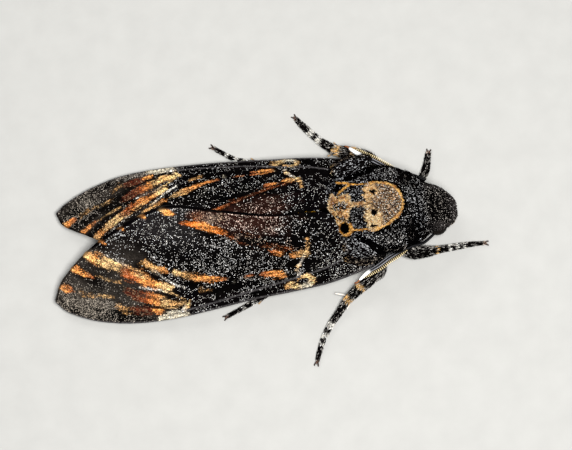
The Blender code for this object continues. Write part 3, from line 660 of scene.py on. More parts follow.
def body_marks(pts):
    """Dark ground, marking colour and cover, share of light hairs and their colour, on the trunk."""
    x, z = pts[:, 0], pts[:, 2]
    y = aside(pts)
    n = len(x)
    xy = np.column_stack((x, y))
    rag = (noise(xy, 0.5, 31) - 0.5) * 0.2 + (noise(xy, 0.2, 32) - 0.5) * 0.18
    fleck = noise(pts, 0.2, 37)
    dark = mix(BLACK, SOOT, noise(pts, 1.5, 33) * 0.4)
    light = 0.48 * (0.3 + 1.25 * noise(pts, 0.9, 34))
    tone = mix(BLUEWHITE, WHITE, noise(pts, 2.2, 35) * 0.9)
    top = step(8.6, 9.4, z) * (x < 19.2) * (x > 3)
    # The skull: a rimmed crown, a creamy face with the two sockets, and the jaw behind it.
    skull = outline(xy, CRANIUM) + rag + (noise(xy, 0.34, 40) - 0.5) * step(12.6, 11.6, x)
    dome = step(0.08, -0.06, skull)
    rim = dome * step(-0.54, -0.32, skull) * step(11.6, 12.6, x)
    face = np.maximum.reduce((step(1.3, 0.7, oval(x, y, 12.2, 2.25, 1.5, 1.2) + rag),
                              step(1.3, 0.7, oval(x, y, 12.2, -2.6, 1.6, 1.8) + rag),
                              0.7 * step(1.4, 0.6, oval(x, y, 11.5, 0.2, 0.9, 1.4) + rag))) * dome
    fill = dome * (1 - rim) * (1 - face)
    tint = mix(srgb(204, 158, 112), srgb(78, 50, 34), step(0.32, 0.62, fleck))
    cheek = np.where((y < 0)[:, None], srgb(240, 208, 156), srgb(226, 186, 130))
    tint = mix(tint, mix(cheek, srgb(172, 122, 72), step(0.46, 0.8, fleck)), face)
    edge = mix(srgb(234, 182, 104), srgb(182, 120, 54), step(0.35, 0.8, noise(xy, 0.35, 38)))
    tint = mix(tint, edge, rim)
    chin = outline(xy, JAW) + rag
    jaw = step(0.08, -0.08, chin) * (1 - dome)
    bone = mix(srgb(230, 186, 124), srgb(158, 102, 52), step(0.3, 0.75, noise(xy, 0.32, 36)))
    hinge = step(1.2, 0.7, oval(x, y, 5.6, 1.3, 0.6, 0.9) + rag)
    bone = mix(bone, srgb(146, 88, 44), hinge * step(0.4, 0.6, fleck))
    bone = mix(bone, srgb(246, 216, 168), step(-0.36, -0.12, chin) * 0.8)
    bone = mix(bone, srgb(160, 112, 70), step(8.9, 9.4, x) * step(0.2, 0.6, fleck))
    tint = mix(tint, bone, jaw)
    ring = step(1.1, 0.95, oval(x, y, 7.4, -3.52, 1.2, 1.17) + rag * 0.5)
    for path, half in GOLD_LINES:
        ring = np.maximum(ring, stroke(xy, path, half, (1.25, 0.8), rag))
    ring = ring * (1 - dome)
    gold = mix(srgb(226, 164, 74), srgb(164, 104, 40), step(0.35, 0.75, noise(xy, 0.3, 39)))
    tint = mix(tint, gold, ring)
    cover = np.maximum.reduce((dome, jaw, ring)) * top
    dark = mix(dark, srgb(36, 22, 14), np.maximum(dome, 0.5 * jaw) * top)
    light = light * (1 - cover) + cover * (0.55 * fill + 0.25 * face + 0.15 * jaw)
    cover = cover * (1 - 0.42 * fill) * (1 - 0.1 * jaw)
    tone = mix(tone, srgb(244, 230, 208), dome * top)
    # Gold hairs behind the jaw, its grizzled middle, and the blue-grey strokes beside it.
    wisps = np.maximum(stroke(xy, *WISP_RIGHT, rag * 2) * (fleck > 0.5), stroke(xy, *WISP_LEFT, rag * 2))
    wisps = wisps * top * (1 - cover) * 0.6
    tint = mix(tint, srgb(160, 112, 48), wisps)
    cover = np.maximum(cover, wisps)
    grey = step(1.15, 0.8, oval(x, y, 6.84, 0.2, 1.4, 0.74) + rag)
    for path in GREY_LINES:
        grey = np.maximum(grey, stroke(xy, path, 0.24, (1.2, 0.7), rag))
    grey = grey * top * 0.85
    cover = cover * (1 - grey)
    light = light * (1 - grey) + 0.7 * grey
    tone = mix(tone, WHITE, grey)
    # Black: eye sockets, jaw spots, wedges behind the jaw, the outline and the collar; painted shadow in the
    # furrows and the hollow at the thorax's rear.
    black = np.zeros(n)
    for spot in BLACK_SPOTS:
        black = np.maximum(black, step(1.12, 0.92, oval(x, y, *spot) + rag * 0.6))
    for shape in (WEDGE, BLOB):
        black = np.maximum(black, step(0.1, -0.1, outline(xy, shape) + rag))
    line = step(0.3, 0.2, np.abs(skull - 0.18)) * (1 - cover) * step(11.8, 12.8, x) * 0.9
    black = np.maximum(black, line) * top
    collar = np.exp(-((x - 19.9 + 0.03 * y * y) / 0.18) ** 2) * 0.9
    nape = np.exp(-((x - 22.4 + 0.06 * y * y) / 0.18) ** 2) * 0.7 * (z > 6)
    # Painted shadow in the furrows beside the tegulae.
    gap, t = polyline(xy, FURROW_SHADOW_RIGHT)
    furrow_shadow = np.maximum(step(1.25, 0.85, gap / ramp(FURROW_SHADOW_RIGHT_WIDTH, t) + rag),
                        stroke(xy, FURROW_SHADOW_LEFT, FURROW_SHADOW_LEFT_WIDTH, (1.3, 0.7))) * (z > 6)
    # Painted shadow in the hollow at the thorax's rear end, between the wing bases.
    hollow_shadow = step(3.4, 2.2, x) * step(1.6, 0.8, np.abs(y)) * (x > 0)
    black = np.maximum.reduce((black, collar, nape, furrow_shadow, hollow_shadow))
    dark = mix(dark, BLACK * 0.4, black)
    cover, light = cover * (1 - black), light * (1 - 0.96 * black)
    # The head is browner, with a paler fringe round its front; the underside is brown.
    head = step(20.6, 22.4, x)
    tone = mix(tone, srgb(176, 164, 148), head * 0.7)
    brow = np.clip(step(24.6, 26.2, x) + step(2.7, 3.5, np.abs(y)) * step(22.0, 23.0, x), 0, 1) * (z > 5)
    light = light * (1 - 0.25 * head) * (1 - 0.35 * head * (1 - brow) * step(1.6, 0.6, np.abs(y)))
    light = light * (1 + 0.8 * brow * step(1.5, 3.0, np.abs(y)))
    dark = mix(dark, srgb(66, 60, 58), brow * 0.6)
    tone = mix(tone, srgb(196, 190, 190), brow * 0.6)
    under = step(5.2, 3.6, z) * (x > 0)
    dark = mix(dark, BROWN * 0.7, under)
    tone = mix(tone, mix(TAN * 0.6, BROWN, head), under)
    # Abdomen: yellow with black hind edges to the rings and a slate stripe down the back.
    ring_place = ((0.2 - x) / RING_LENGTH) % 1.0
    band = step(0.60, 0.72, ring_place + rag * 0.3)
    stripe = step(1.9, 1.2, np.abs(y) + rag) * (z > 5)
    belly = mix(GOLD * 0.75, BLACK, band)
    belly = mix(belly, srgb(66, 76, 92) * 0.6, stripe * 0.9)
    belly = mix(belly, TAN * 0.7, step(3.0, 1.6, z) * 0.6)
    rear = x < -0.2
    tint = np.where(rear[:, None], belly, tint)
    cover = np.where(rear, 1.0, cover)
    light = np.where(rear, 0.1, light)
    dark = np.where(rear[:, None], belly * 0.4, dark)
    return dark, tint, cover, np.clip(light, 0, 1), tone


# Pale rings of each foot as (distance from the tip, half length, brightness).
RINGS = {
    "mid_right": ((7.0, 0.5, 1.0), (4.95, 0.42, 0.95), (3.45, 0.3, 0.6)),
    "mid_left": ((6.05, 0.5, 1.0), (4.25, 0.45, 1.0)),
    "front_right": ((6.5, 0.26, 0.85), (5.1, 0.2, 0.8), (3.9, 0.18, 0.6)),
    "front_left": ((4.5, 0.25, 0.15),),
    "hind_right": ((5.6, 0.4, 0.6), (3.4, 0.3, 0.5)),
    "hind_left": ((6.6, 0.4, 0.9), (4.9, 0.4, 0.9), (3.0, 0.3, 0.5)),
}
# Tan tufts of each shin as (distance from the tip, half length); the shin ends at the first.
TUFTS = {
    "mid_right": ((12.4, 0.65), (15.6, 0.35)), "mid_left": ((10.1, 0.75), (13.3, 0.5)),
    "front_right": ((8.8, 0.25),), "front_left": ((9.4, 0.3),),
    "hind_right": ((8.6, 0.35),), "hind_left": ((8.6, 0.35),),
}


def leg_marks(name, u, pts):
    """The same five values for a leg: grizzled shin, tan tuft at its end, black foot with pale rings."""
    n = len(u)
    t = np.linspace(0, 1, 200)
    run = distance_along(LEGS[name], t)
    from_tip = run[-1] - np.interp(u, t, run)
    shin = TUFTS[name][0][0]
    grizzled = name == "front_right"
    dark = mix(BLACK, SOOT, noise(pts, 0.8, 41))
    inward = pts[:, 1] - along(LEGS[name], u)[:, 1]
    light = (0.3 + grizzled * (0.5 * step(-0.1, 0.5, inward) - 0.16)) * (0.5 + noise(pts, 0.5, 42))
    tone = np.tile(srgb(190, 184, 176), (n, 1))
    colour, cover = np.tile(srgb(252, 248, 238), (n, 1)), np.zeros(n)
    fray = (noise(pts, 0.45, 43) - 0.5) * 0.5
    for place, half, power in RINGS[name]:
        ring = step(1.25, 0.85, np.abs(from_tip - place) / half + fray) * power
        cover = np.maximum(cover, ring)
    for place, half in TUFTS[name]:
        tuft = step(1.3, 0.7, np.abs(from_tip - place) / half + fray * 2)
        colour = mix(colour, srgb(224, 176, 108), tuft)
        cover = np.maximum(cover, tuft)
    foot = step(shin - 0.4, shin - 1.4, from_tip)
    light = light * (1 - (0.0 if grizzled else 0.35) * foot)
    sole = step(0.7, 0.3, from_tip)
    colour = mix(colour, srgb(150, 108, 90), sole)
    cover = np.maximum(cover, sole * 0.7)
    return dark, colour, cover, np.clip(light, 0, 1), tone


# ------------------------------------------------------------------ meshes


def metres(v):
    """From the moth's own frame in mm to the shared frame in metres."""
    return (np.asarray(v, float) + (DX, DY, 0.0)) * 0.001


def build_mesh(name, verts, tris, quads=None, colour=None, uv=None, smooth=True):
    """A mesh object from arrays; colour is per vertex, uv per vertex in the OFBake map."""
    mesh = bpy.data.meshes.new(name)
    faces = np.asarray(tris, np.int64).reshape(-1, 3)
    n3 = len(faces)
    loops = faces.reshape(-1)
    start, total = np.arange(n3) * 3, np.full(n3, 3)
    if quads is not None and len(quads):
        quads = np.asarray(quads, np.int64)
        start = np.concatenate((start, n3 * 3 + np.arange(len(quads)) * 4))
        total = np.concatenate((total, np.full(len(quads), 4)))
        loops = np.concatenate((loops, quads.reshape(-1)))
    mesh.vertices.add(len(verts))
    mesh.vertices.foreach_set("co", metres(verts).astype(np.float32).reshape(-1))
    mesh.loops.add(len(loops))
    mesh.loops.foreach_set("vertex_index", loops.astype(np.int32))
    mesh.polygons.add(len(start))
    mesh.polygons.foreach_set("loop_start", start.astype(np.int32))
    mesh.polygons.foreach_set("loop_total", total.astype(np.int32))
    mesh.polygons.foreach_set("use_smooth", np.full(len(start), smooth))
    mesh.update(calc_edges=True)
    if colour is not None:
        layer = mesh.color_attributes.new("tint", "FLOAT_COLOR", "POINT")
        rgba = np.column_stack((np.clip(colour, 0, 1), np.ones(len(verts)))).astype(np.float32)
        layer.data.foreach_set("color", rgba.reshape(-1))
    if uv is not None:
        layer = mesh.uv_layers.new(name="OFBake")
        layer.data.foreach_set("uv", np.asarray(uv, np.float32)[loops].reshape(-1))
    obj = bpy.data.objects.new(name, mesh)
    bpy.context.scene.collection.objects.link(obj)
    return obj


def grid_faces(rows, cols, offset=0, wrap=False):
    """Quads over a grid stored row by row; wrap joins the last column to the first."""
    i, j = np.meshgrid(np.arange(rows - 1), np.arange(cols if wrap else cols - 1), indexing="ij")
    a, b = i * cols + j, i * cols + (j + 1) % cols
    return np.stack((a, b, b + cols, a + cols), -1).reshape(-1, 4) + offset


def closed_tube(point, rows, cols, offset=0):
    """Verts and faces of a closed tube from point(u, v), capped by fans at both ends."""
    u, v = np.meshgrid(np.linspace(0, 1, rows), np.arange(cols) / cols, indexing="ij")
    verts = point(u.reshape(-1), v.reshape(-1))
    ends = np.array([verts[:cols].mean(0), verts[-cols:].mean(0)])
    quads = grid_faces(rows, cols, offset, wrap=True)
    k = np.arange(cols)
    n = rows * cols
    tris = np.concatenate((
        np.column_stack((np.full(cols, n), (k + 1) % cols, k)),
        np.column_stack((np.full(cols, n + 1), n - cols + k, n - cols + (k + 1) % cols)))) + offset
    return np.vstack((verts, ends)), tris, quads


def tube_share(rows, cols):
    """How far along a closed tube each of its verts is, 0..1."""
    return np.concatenate((np.repeat(np.linspace(0, 1, rows), cols), (0, 1)))


def join_tubes(tubes):
    """Verts, tris and quads of many closed tubes, each given as (surface, rows, columns)."""
    verts, tris, quads, count = [], [], [], 0
    for point, rows, cols in tubes:
        v, t, q = closed_tube(point, rows, cols, count)
        verts.append(v)
        tris.append(t)
        quads.append(q)
        count += len(v)
    return np.vstack(verts), np.vstack(tris), np.vstack(quads)


def scatter(point, per_mm2, seed, keep=None):
    """Roots spread evenly by area over point(u, v): u, v, place, normal and direction along u."""
    rng = np.random.default_rng(seed)
    probe = rng.random((4000, 2))

    def frame_at(u, v):
        e = 1e-3
        u0, u1, v0, v1 = (np.clip(w, 0, 1) for w in (u - e, u + e, v - e, v + e))
        du = (point(u1, v) - point(u0, v)) / (u1 - u0)[:, None]
        dv = (point(u, v1) - point(u, v0)) / (v1 - v0)[:, None]
        cross = np.cross(du, dv)
        return point(u, v), cross, np.linalg.norm(cross, axis=1), du

    area = frame_at(probe[:, 0], probe[:, 1])[2]
    peak = np.percentile(area, 99.5)
    tries = int(per_mm2 * peak)
    uv = rng.random((tries, 2))
    p, cross, size, du = frame_at(uv[:, 0], uv[:, 1])
    ok = rng.random(tries) < size / peak
    if keep is not None:
        ok &= keep(p, uv[:, 0], uv[:, 1])
    return uv[ok, 0], uv[ok, 1], p[ok], unit(cross[ok]), unit(du[ok])


# Tuft shapes: painted shade of each vert (darkest at the root), faces, and each vert's place in the tuft's
# patch of the UV map.
PATCH = 0.0015
HAIR = dict(
    shade=(0.3, 0.3, 0.4, 0.8, 0.8, 0.9, 1.0),
    faces=((0, 1, 2), (0, 3, 4), (0, 4, 1), (1, 4, 5), (1, 5, 2), (2, 5, 3), (2, 3, 0), (3, 6, 4),
           (4, 6, 5), (5, 6, 3)),
    patch=((-0.8, -1), (0.8, -1), (0, -1), (-1, 0), (1, 0), (0, 0.1), (0, 1)))
VANE = dict(
    shade=(0.4, 0.9, 0.9, 1.0, 1.0),
    faces=((0, 2, 1), (1, 2, 3), (0, 1, 4), (1, 3, 4), (3, 2, 4), (2, 0, 4)),
    patch=((0, -1), (-1, 0.2), (1, 0.2), (0, 1), (0, 0.3)))


def tufts(name, root, normal, lie, length, width, lift, colour, uv, vane=False):
    """One coat piece: every tuft is a closed tapering blade that leaves its root along lie.

    A vane is a flat scale of six faces, a hair a three-sided blade of ten that bends down to its tip.
    """
    n = len(root)
    side = unit(np.cross(normal, lie))
    lie = unit(np.cross(side, normal))
    c, s = np.cos(lift)[:, None], np.sin(lift)[:, None]
    go, rise = lie * c + normal * s, normal * c - lie * s
    L, W = length[:, None], width[:, None]
    if vane:
        parts = [root - normal * 0.03, root + go * L * 0.6 - side * W, root + go * L * 0.6 + side * W,
                 root + go * L, root + go * L * 0.55 + rise * W * 0.45]
    else:
        low = lie * np.cos(lift * 0.35)[:, None] + normal * np.sin(lift * 0.35)[:, None]
        mid = root + go * L * 0.5
        parts = [root - side * W * 0.7 - normal * 0.05, root + side * W * 0.7 - normal * 0.05,
                 root + rise * W * 0.7, mid - side * W, mid + side * W, mid + rise * W * 0.8,
                 mid + low * L * 0.5]
    kind = VANE if vane else HAIR
    m = len(parts)
    verts = np.stack(parts, 1).reshape(-1, 3)
    verts[:, 2] = np.maximum(verts[:, 2], 0.01)
    # Each vert's colour times its painted shade, darkest at the root and lighter along the top.
    tint = (colour[:, None, :] * np.array(kind["shade"])[None, :, None]).reshape(-1, 3)
    spots = (uv[:, None, :] + np.array(kind["patch"])[None] * PATCH).reshape(-1, 2)
    tris = (np.arange(n)[:, None, None] * m + np.array(kind["faces"])[None]).reshape(-1, 3)
    return build_mesh(name, verts, tris, colour=tint, uv=spots, smooth=not vane)


# The tufts of one piece: how many per square mm, the seed, length and half width in mm and lift in
# degrees (numbers or functions of the roots), and how far they stray from the common direction.
Pile = namedtuple("Pile", "per_mm2 seed length width lift stray", defaults=(0.2,))


def coat(name, surface, marks, pile, lie, out, keep=None, pale=False, vane=False):
    """Scatters tufts over surface(u, v), pointing along lie(root, direction of u).

    Dark pieces cover the skin and carry the markings; pale ones are the light scales or hairs among
    them, kept in the share that marks(u, place) gives.  out(u, root) points away from the body.
    """
    length, width, lift = (f if callable(f) else constant(f) for f in pile[2:5])
    u, v, root, normal, du = scatter(surface, pile.per_mm2, pile.seed, keep)
    rng = np.random.default_rng(pile.seed + 1)
    straight = unit(lie(root, du))
    dark, colour, cover, light, tone = marks(u, root + straight * length(root)[:, None] * 0.45)
    if pale:
        sel = rng.random(len(root)) < light
        u, v, root, normal, straight, tone = (w[sel] for w in (u, v, root, normal, straight, tone))
    n = len(root)
    away = out(u, root)
    normal = np.where((normal * away).sum(1)[:, None] < 0, -normal, normal)
    direction = straight + rng.normal(0, pile.stray, (n, 3))
    power = rng.random(n)
    if pale:
        tint = tone * (0.3 + 1.75 * power**1.5)[:, None]
    else:
        marked = rng.random(n) < cover
        bright = mix(colour, srgb(250, 222, 176), 0.3 * rng.random(n) ** 4)
        tint = np.where(marked[:, None], bright * (0.72 + 0.75 * power**1.5)[:, None],
                        dark * (0.3 + 1.6 * power * power)[:, None])
    L = length(root) * (0.7 + 0.6 * rng.random(n))
    W = width(root) * (0.75 + 0.5 * rng.random(n))
    A = np.radians(lift(root)) * (0.6 + 0.8 * rng.random(n))
    uv = 0.01 + 0.98 * np.column_stack((u, v))
    obj = tufts(name, root, normal, direction, L, W, A, tint, uv, vane)
    return dress(obj, MAT_SCALE if vane else MAT_FUR)


def coat_pair(name, surface, marks, dark, pale, lie, out, keep=None, vane=False):
    """The dark and the pale piece of one surface; the name has {} in place of the kind."""
    coat(name.format("dark"), surface, marks, dark, lie, out, keep, vane=vane)
    coat(name.format("pale"), surface, marks, pale, lie, out, keep, pale=True, vane=vane)


def constant(value):
    return lambda root: np.full(len(root), float(value))


def by_place(marks):
    """Marks that need only the place, in the form that coat() calls."""
    return lambda u, p: marks(p)


# ------------------------------------------------------------------ materials


def material(name, rough=0.6, tint=None, grain=0.18, cell=0.0004, bump=0.25, stretch=(1, 1, 1), spec=0.3,
             low=0.75, high=1.2):
    """Colour from the tint attribute (or a fixed colour), varied and roughened by fine noise.

    cell is the size of the noise in metres; low and high bound how far it darkens and lightens.
    """
    mat = bpy.data.materials.new(name)
    mat.use_nodes = True
    tree = mat.node_tree
    shader = tree.nodes["Principled BSDF"]
    shader.inputs["Specular IOR Level"].default_value = spec

    def node(kind, **values):
        new = tree.nodes.new("ShaderNode" + kind)
        for key, value in values.items():
            new.inputs[key.replace("_", " ")].default_value = value
        return new

    coord, mapping = node("TexCoord"), node("Mapping", Scale=[s / cell for s in stretch])
    fine = node("TexNoise", Scale=1.0, Detail=3.0)
    level = node("MapRange", From_Min=0.3, From_Max=0.7, To_Min=low, To_Max=high)
    gloss = node("MapRange", To_Min=max(0.05, rough - grain), To_Max=min(1.0, rough + grain))
    rise = node("Bump", Strength=bump, Distance=cell * 0.3)
    scale = node("VectorMath")
    scale.operation = "SCALE"
    if tint is None:
        attr = node("VertexColor")
        attr.layer_name = "tint"
        tree.links.new(attr.outputs["Color"], scale.inputs[0])
    else:
        scale.inputs[0].default_value = tint
    for source, output, target, socket in (
            (coord, "Object", mapping, "Vector"), (mapping, "Vector", fine, "Vector"),
            (fine, "Fac", level, "Value"), (level, "Result", scale, "Scale"),
            (scale, "Vector", shader, "Base Color"), (fine, "Fac", gloss, "Value"),
            (gloss, "Result", shader, "Roughness"), (fine, "Fac", rise, "Height"),
            (rise, "Normal", shader, "Normal")):
        tree.links.new(source.outputs[output], target.inputs[socket])
    return mat


def dress(obj, mat):
    """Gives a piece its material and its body."""
    obj.data.materials.clear()
    obj.data.materials.append(mat)
    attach(obj, "root")
    return obj


def fix_normals(obj):
    bm = bmesh.new()
    bm.from_mesh(obj.data)
    bmesh.ops.recalc_face_normals(bm, faces=bm.faces)
    bm.to_mesh(obj.data)
    bm.free()
    return obj


MAT_SKIN = material("Skin", rough=0.9, cell=0.00025, bump=0.6, spec=0.004, grain=0.08)
MAT_FUR = material("Fur", rough=0.85, cell=0.0003, bump=0.15, spec=0.006)
MAT_WING = material("WingMembrane", rough=0.85, cell=0.00016, bump=0.5, stretch=(0.5, 1, 1), spec=0.004)
MAT_SCALE = material("WingScales", rough=0.75, cell=0.0003, bump=0.1, spec=0.006)
MAT_HORN = material("Horn", rough=0.4, tint=srgb(38, 20, 13), cell=0.0003, bump=0.2, spec=0.25)
MAT_ANTENNA = material("Antenna", rough=0.6, cell=0.0002, bump=0.4, spec=0.06)
MAT_EYE = material("Eye", rough=0.42, tint=srgb(14, 8, 5), grain=0.08, cell=0.0006, bump=0.35, spec=0.08)

# ------------------------------------------------------------------ the one skin

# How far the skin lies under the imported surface, where the coat makes up the rest.
COAT, LEG_COAT, PALP_COAT, LOBE_COAT = 0.32, 0.12, 0.1, 0.2
VOXEL = 0.19
SIDES = (("left", 1), ("right", -1))
PALPS, TEGULAE, SHOULDERS, WING_ROOTS = {}, {}, {}, {}
for tag, side in SIDES:
    PALPS[tag] = [(a, side * b + float(bend(a)), c, d) for a, b, c, d in PALP]
    TEGULAE[tag] = ((TEGULA_CENTRE[0], side * TEGULA_CENTRE[1], TEGULA_CENTRE[2]), TEGULA_SIZE,
                    -side * TEGULA_ROLL, side * TEGULA_YAW[side])
    SHOULDERS[tag] = ((8.9, side * 8.35, 7.8), (2.7, 1.25, 0.95), -side * math.radians(42),
                      side * math.radians(14))
    WING_ROOTS[tag] = ((6.4, side * 6.4, 6.9), (4.6, 2.4, 1.2), -side * math.radians(34), 0.0)


def trunk(u, v):
    return body_point(u, v, COAT)


def skin_mesh():
    """Trunk, legs, palps, shoulder lobes and wing roots, fused by a voxel remesh into one skin."""
    lumps = [(trunk, 220, 72)]
    lumps += [(on_limb(stations, LEG_COAT), 90, 16) for stations in LEGS.values()]
    for tag in PALPS:
        lumps.append((on_limb(PALPS[tag], PALP_COAT), 30, 16))
        lumps += [(on_lobe(shape[tag], LOBE_COAT), 40, 24) for shape in (TEGULAE, SHOULDERS)]
        lumps.append((on_lobe(WING_ROOTS[tag]), 40, 24))
    mould = build_mesh("mould", *join_tubes(lumps))
    mould.data.transform(Matrix.Scale(1000, 4))
    remesh = mould.modifiers.new("one_skin", "REMESH")
    remesh.mode, remesh.voxel_size = "VOXEL", VOXEL
    soften = mould.modifiers.new("soften", "SMOOTH")
    soften.factor, soften.iterations = 0.5, 3
    bpy.context.view_layer.update()
    shape = bpy.data.meshes.new_from_object(mould.evaluated_get(bpy.context.evaluated_depsgraph_get()))
    bpy.data.objects.remove(mould, do_unlink=True)
    v = np.zeros(len(shape.vertices) * 3)
    shape.vertices.foreach_get("co", v)
    shape.calc_loop_triangles()
    t = np.zeros(len(shape.loop_triangles) * 3, np.int32)
    shape.loop_triangles.foreach_get("vertices", t)
    return v.reshape(-1, 3) - (DX, DY, 0), t.reshape(-1, 3)


def leg_share(points):
    """For each point the nearest leg, how far along it, and whether the point belongs to it."""
    count = len(points)
    who, place, best = np.zeros(count, int), np.zeros(count), np.full(count, 1e9)
    t = np.linspace(0, 1, 160)
    for k, name in enumerate(LEGS):
        line = along(LEGS[name], t)
        low, high = line[:, :3].min(0) - 1.6, line[:, :3].max(0) + 1.6
        close = np.where((points > low).all(1) & (points < high).all(1))[0]
        for part in np.array_split(close, max(1, len(close) // 20000)):
            gap = np.linalg.norm(points[part, None, :] - line[None, :, :3], axis=2) - line[None, :, 3]
            i = gap.argmin(1)
            g = gap[np.arange(len(i)), i]
            near = g < best[part]
            best[part] = np.where(near, g, best[part])
            who[part] = np.where(near, k, who[part])
            place[part] = np.where(near, t[i], place[part])
    return who, place, (best < 0.12) & ~inside_body(points, 0.02)


def blend_marks(marks):
    """Skin colour under the coat: the markings, darkened, and a little of the pale hairs."""
    dark, colour, cover, light, tone = marks
    return mix(mix(dark * 0.7, colour * 0.3, cover * 0.8), tone, light * 0.012)


skin_v, skin_t = skin_mesh()
tint = blend_marks(body_marks(skin_v))
who, place, mine = leg_share(skin_v)
for k, name in enumerate(LEGS):
    sel = mine & (who == k)
    if sel.any():
        tint[sel] = blend_marks(leg_marks(name, place[sel], skin_v[sel]))
skin = dress(build_mesh("moth_skin", skin_v, skin_t, colour=tint), MAT_SKIN)
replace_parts(skin, "head", "neck", "thorax", *(f"abdomen_{k}" for k in range(1, 6)),
            *("leg_" + k for k in LEGS), "palp_left", "palp_right", "tegula_left", "tegula_right")

# ------------------------------------------------------------------ fur


def body_out(u, root):
    """Outward from the middle of the trunk, and forward at the front of the head."""
    mid = body_section(np.clip(root[:, 0], BODY_REAR, BODY_FRONT))[1]
    return np.column_stack((2.4 * step(23, 27, root[:, 0]), aside(root), root[:, 2] - mid))


def body_lie(root, du):
    """The trunk's coat lies backward; round the front of the head it lies down the face."""
    n = len(root)
    y = aside(root)
    splay = 0.12 + 0.5 * step(2.4, 3.4, np.abs(y)) * step(21.5, 22.5, root[:, 0])
    back = np.column_stack((-np.ones(n), splay * np.sign(y), np.full(n, -0.1)))
    front = step(24.4, 26.4, root[:, 0])[:, None]
    down = np.column_stack((np.zeros(n), 0.5 * y, np.full(n, -1.0)))
    return back * (1 - front) + down * front


def hang(ahead, outward, up):
    """A coat direction with those parts forward, away from the middle line and up."""
    def lie(root, du):
        n = len(root)
        return np.column_stack((np.full(n, ahead), outward * np.sign(aside(root)), np.full(n, up)))

    return lie


def along_limb(root, du):
    return du


def clear_of_parts(points):
    """True where a trunk root is not under a tegula or in an eye."""
    ok = np.ones(len(points), bool)
    for tag, side in SIDES:
        centre, size = TEGULAE[tag][:2]
        ok &= np.linalg.norm((points - centre) / (size[0], 1.5, 1.5), axis=1) > 0.9
        eye = np.array([EYE_X, side * EYE_Y + float(bend(EYE_X)), EYE_Z])
        ok &= np.linalg.norm(points - eye, axis=1) > EYE_R + 0.05
    return ok


def outside_body(depth):
    """Keeps roots that are not deeper than depth in the trunk."""
    return lambda p, u, v: ~inside_body(p, -depth)


def trunk_coat(name, low, high, pile, keep=None, pale=False, slot="body_fur"):
    """One coat piece on the trunk between the places low and high along x."""
    def here(p, u, v):
        ok = (p[:, 0] > low) & (p[:, 0] < high) & clear_of_parts(p)
        return ok if keep is None else ok & keep(p)

    coat(name, trunk, by_place(body_marks), pile, body_lie, body_out, here, pale)


def on_skull(p):
    """The part of the back that carries the skull mark, where the hairs are short."""
    return (p[:, 0] > 3.6) & (p[:, 0] < 18.9) & (np.abs(aside(p)) < 5.1) & (p[:, 2] > 8.5)


def thorax_length(root):
    """Longest over the hind thorax and flanks, short and velvety toward the head."""
    flank = step(5.0, 7.0, np.abs(aside(root)))
    rear = 0.7 * step(5.0, 2.5, root[:, 0])
    return 0.5 + 0.3 * flank + np.where(on_skull(root), -0.1, rear) + 0.3 * step(5, 3, root[:, 2])


def head_length(root):
    """Short on the crown, longer down the sides where it hangs over the eyes and the feelers' roots."""
    return 0.4 + 0.7 * step(2.6, 3.6, np.abs(aside(root))) * step(4.5, 6, root[:, 2])


THORAX, HEAD, ABDOMEN = (0.0, 19.6), (19.3, 26.9), (-29.0, 0.0)
trunk_coat("coat_thorax_dark", *THORAX, Pile(24, 101, thorax_length, 0.062, 30), lambda p: ~on_skull(p))
trunk_coat("coat_skull_dark", *THORAX, Pile(72, 107, 0.36, 0.045, 24, 0.3), on_skull)
trunk_coat("coat_thorax_pale", *THORAX, Pile(48, 103, lambda r: thorax_length(r) * 0.38, 0.06, 38, 0.5),
           pale=True)
trunk_coat("coat_head_dark", *HEAD, Pile(36, 111, head_length, 0.05, 26))
trunk_coat("coat_head_pale", *HEAD, Pile(44, 113, lambda r: head_length(r) * 0.5, 0.044, 34, 0.5), pale=True)


def face(u, v):
    """The blunt front of the head, which trunk() leaves open."""
    rim = body_point(np.ones_like(v), v, COAT)
    middle = body_point(np.ones(2), np.array((0.0, 0.5)), COAT).mean(0)
    return middle + (rim - middle) * (0.03 + 0.97 * u[:, None])


coat_pair("coat_face_{}", face, by_place(body_marks), Pile(44, 125, 0.42, 0.05, 24),
          Pile(44, 126, 0.24, 0.044, 34, 0.5), body_lie, body_out)


def flank_marks(u, p):
    """Long dark and grey-brown hairs that hang from the side of the thorax and over the eyes."""
    dark, *_, tone = body_marks(p)
    front = step(20.5, 22.5, p[:, 0])
    dark = mix(dark, srgb(74, 69, 67), 0.7 * front)
    tone = mix(mix(tone, srgb(150, 136, 124), 0.7), srgb(186, 181, 180), front)
    return dark, dark, np.zeros(len(p)), 0.5 + 0.25 * front, tone


def on_flank(p, u, v):
    y, z = np.abs(aside(p)), p[:, 2]
    return (p[:, 0] > 10.4) & (p[:, 0] < 17.4) & (y > 5.9) & (z > 4.4) & (z < 9.0) & clear_of_parts(p)


def flank_length(root):
    return 1.1 + 0.6 * step(14.5, 12.5, root[:, 0]) + 0.55 * (root[:, 1] < 0)


def over_eye(p, u, v):
    x, y = p[:, 0], np.abs(aside(p))
    return (x > 17.6) & (x < 25.2) & (y > 2.6) & (p[:, 2] > 5.6) & clear_of_parts(p)


coat_pair("coat_flank_{}", trunk, flank_marks, Pile(22, 115, flank_length, 0.06, 26, 0.22),
          Pile(14, 116, lambda r: flank_length(r) * 0.8, 0.035, 26, 0.22), hang(-1.0, 0.75, -0.45),
          body_out, on_flank)
coat_pair("coat_brow_{}", trunk, flank_marks, Pile(46, 117, 0.95, 0.055, 14),
          Pile(16, 118, 0.7, 0.03, 14), hang(-0.5, 0.9, -0.55), body_out, over_eye)
trunk_coat("coat_abdomen", *ABDOMEN, Pile(11, 121, 0.9, 0.085, 16), slot="abdomen_fur")

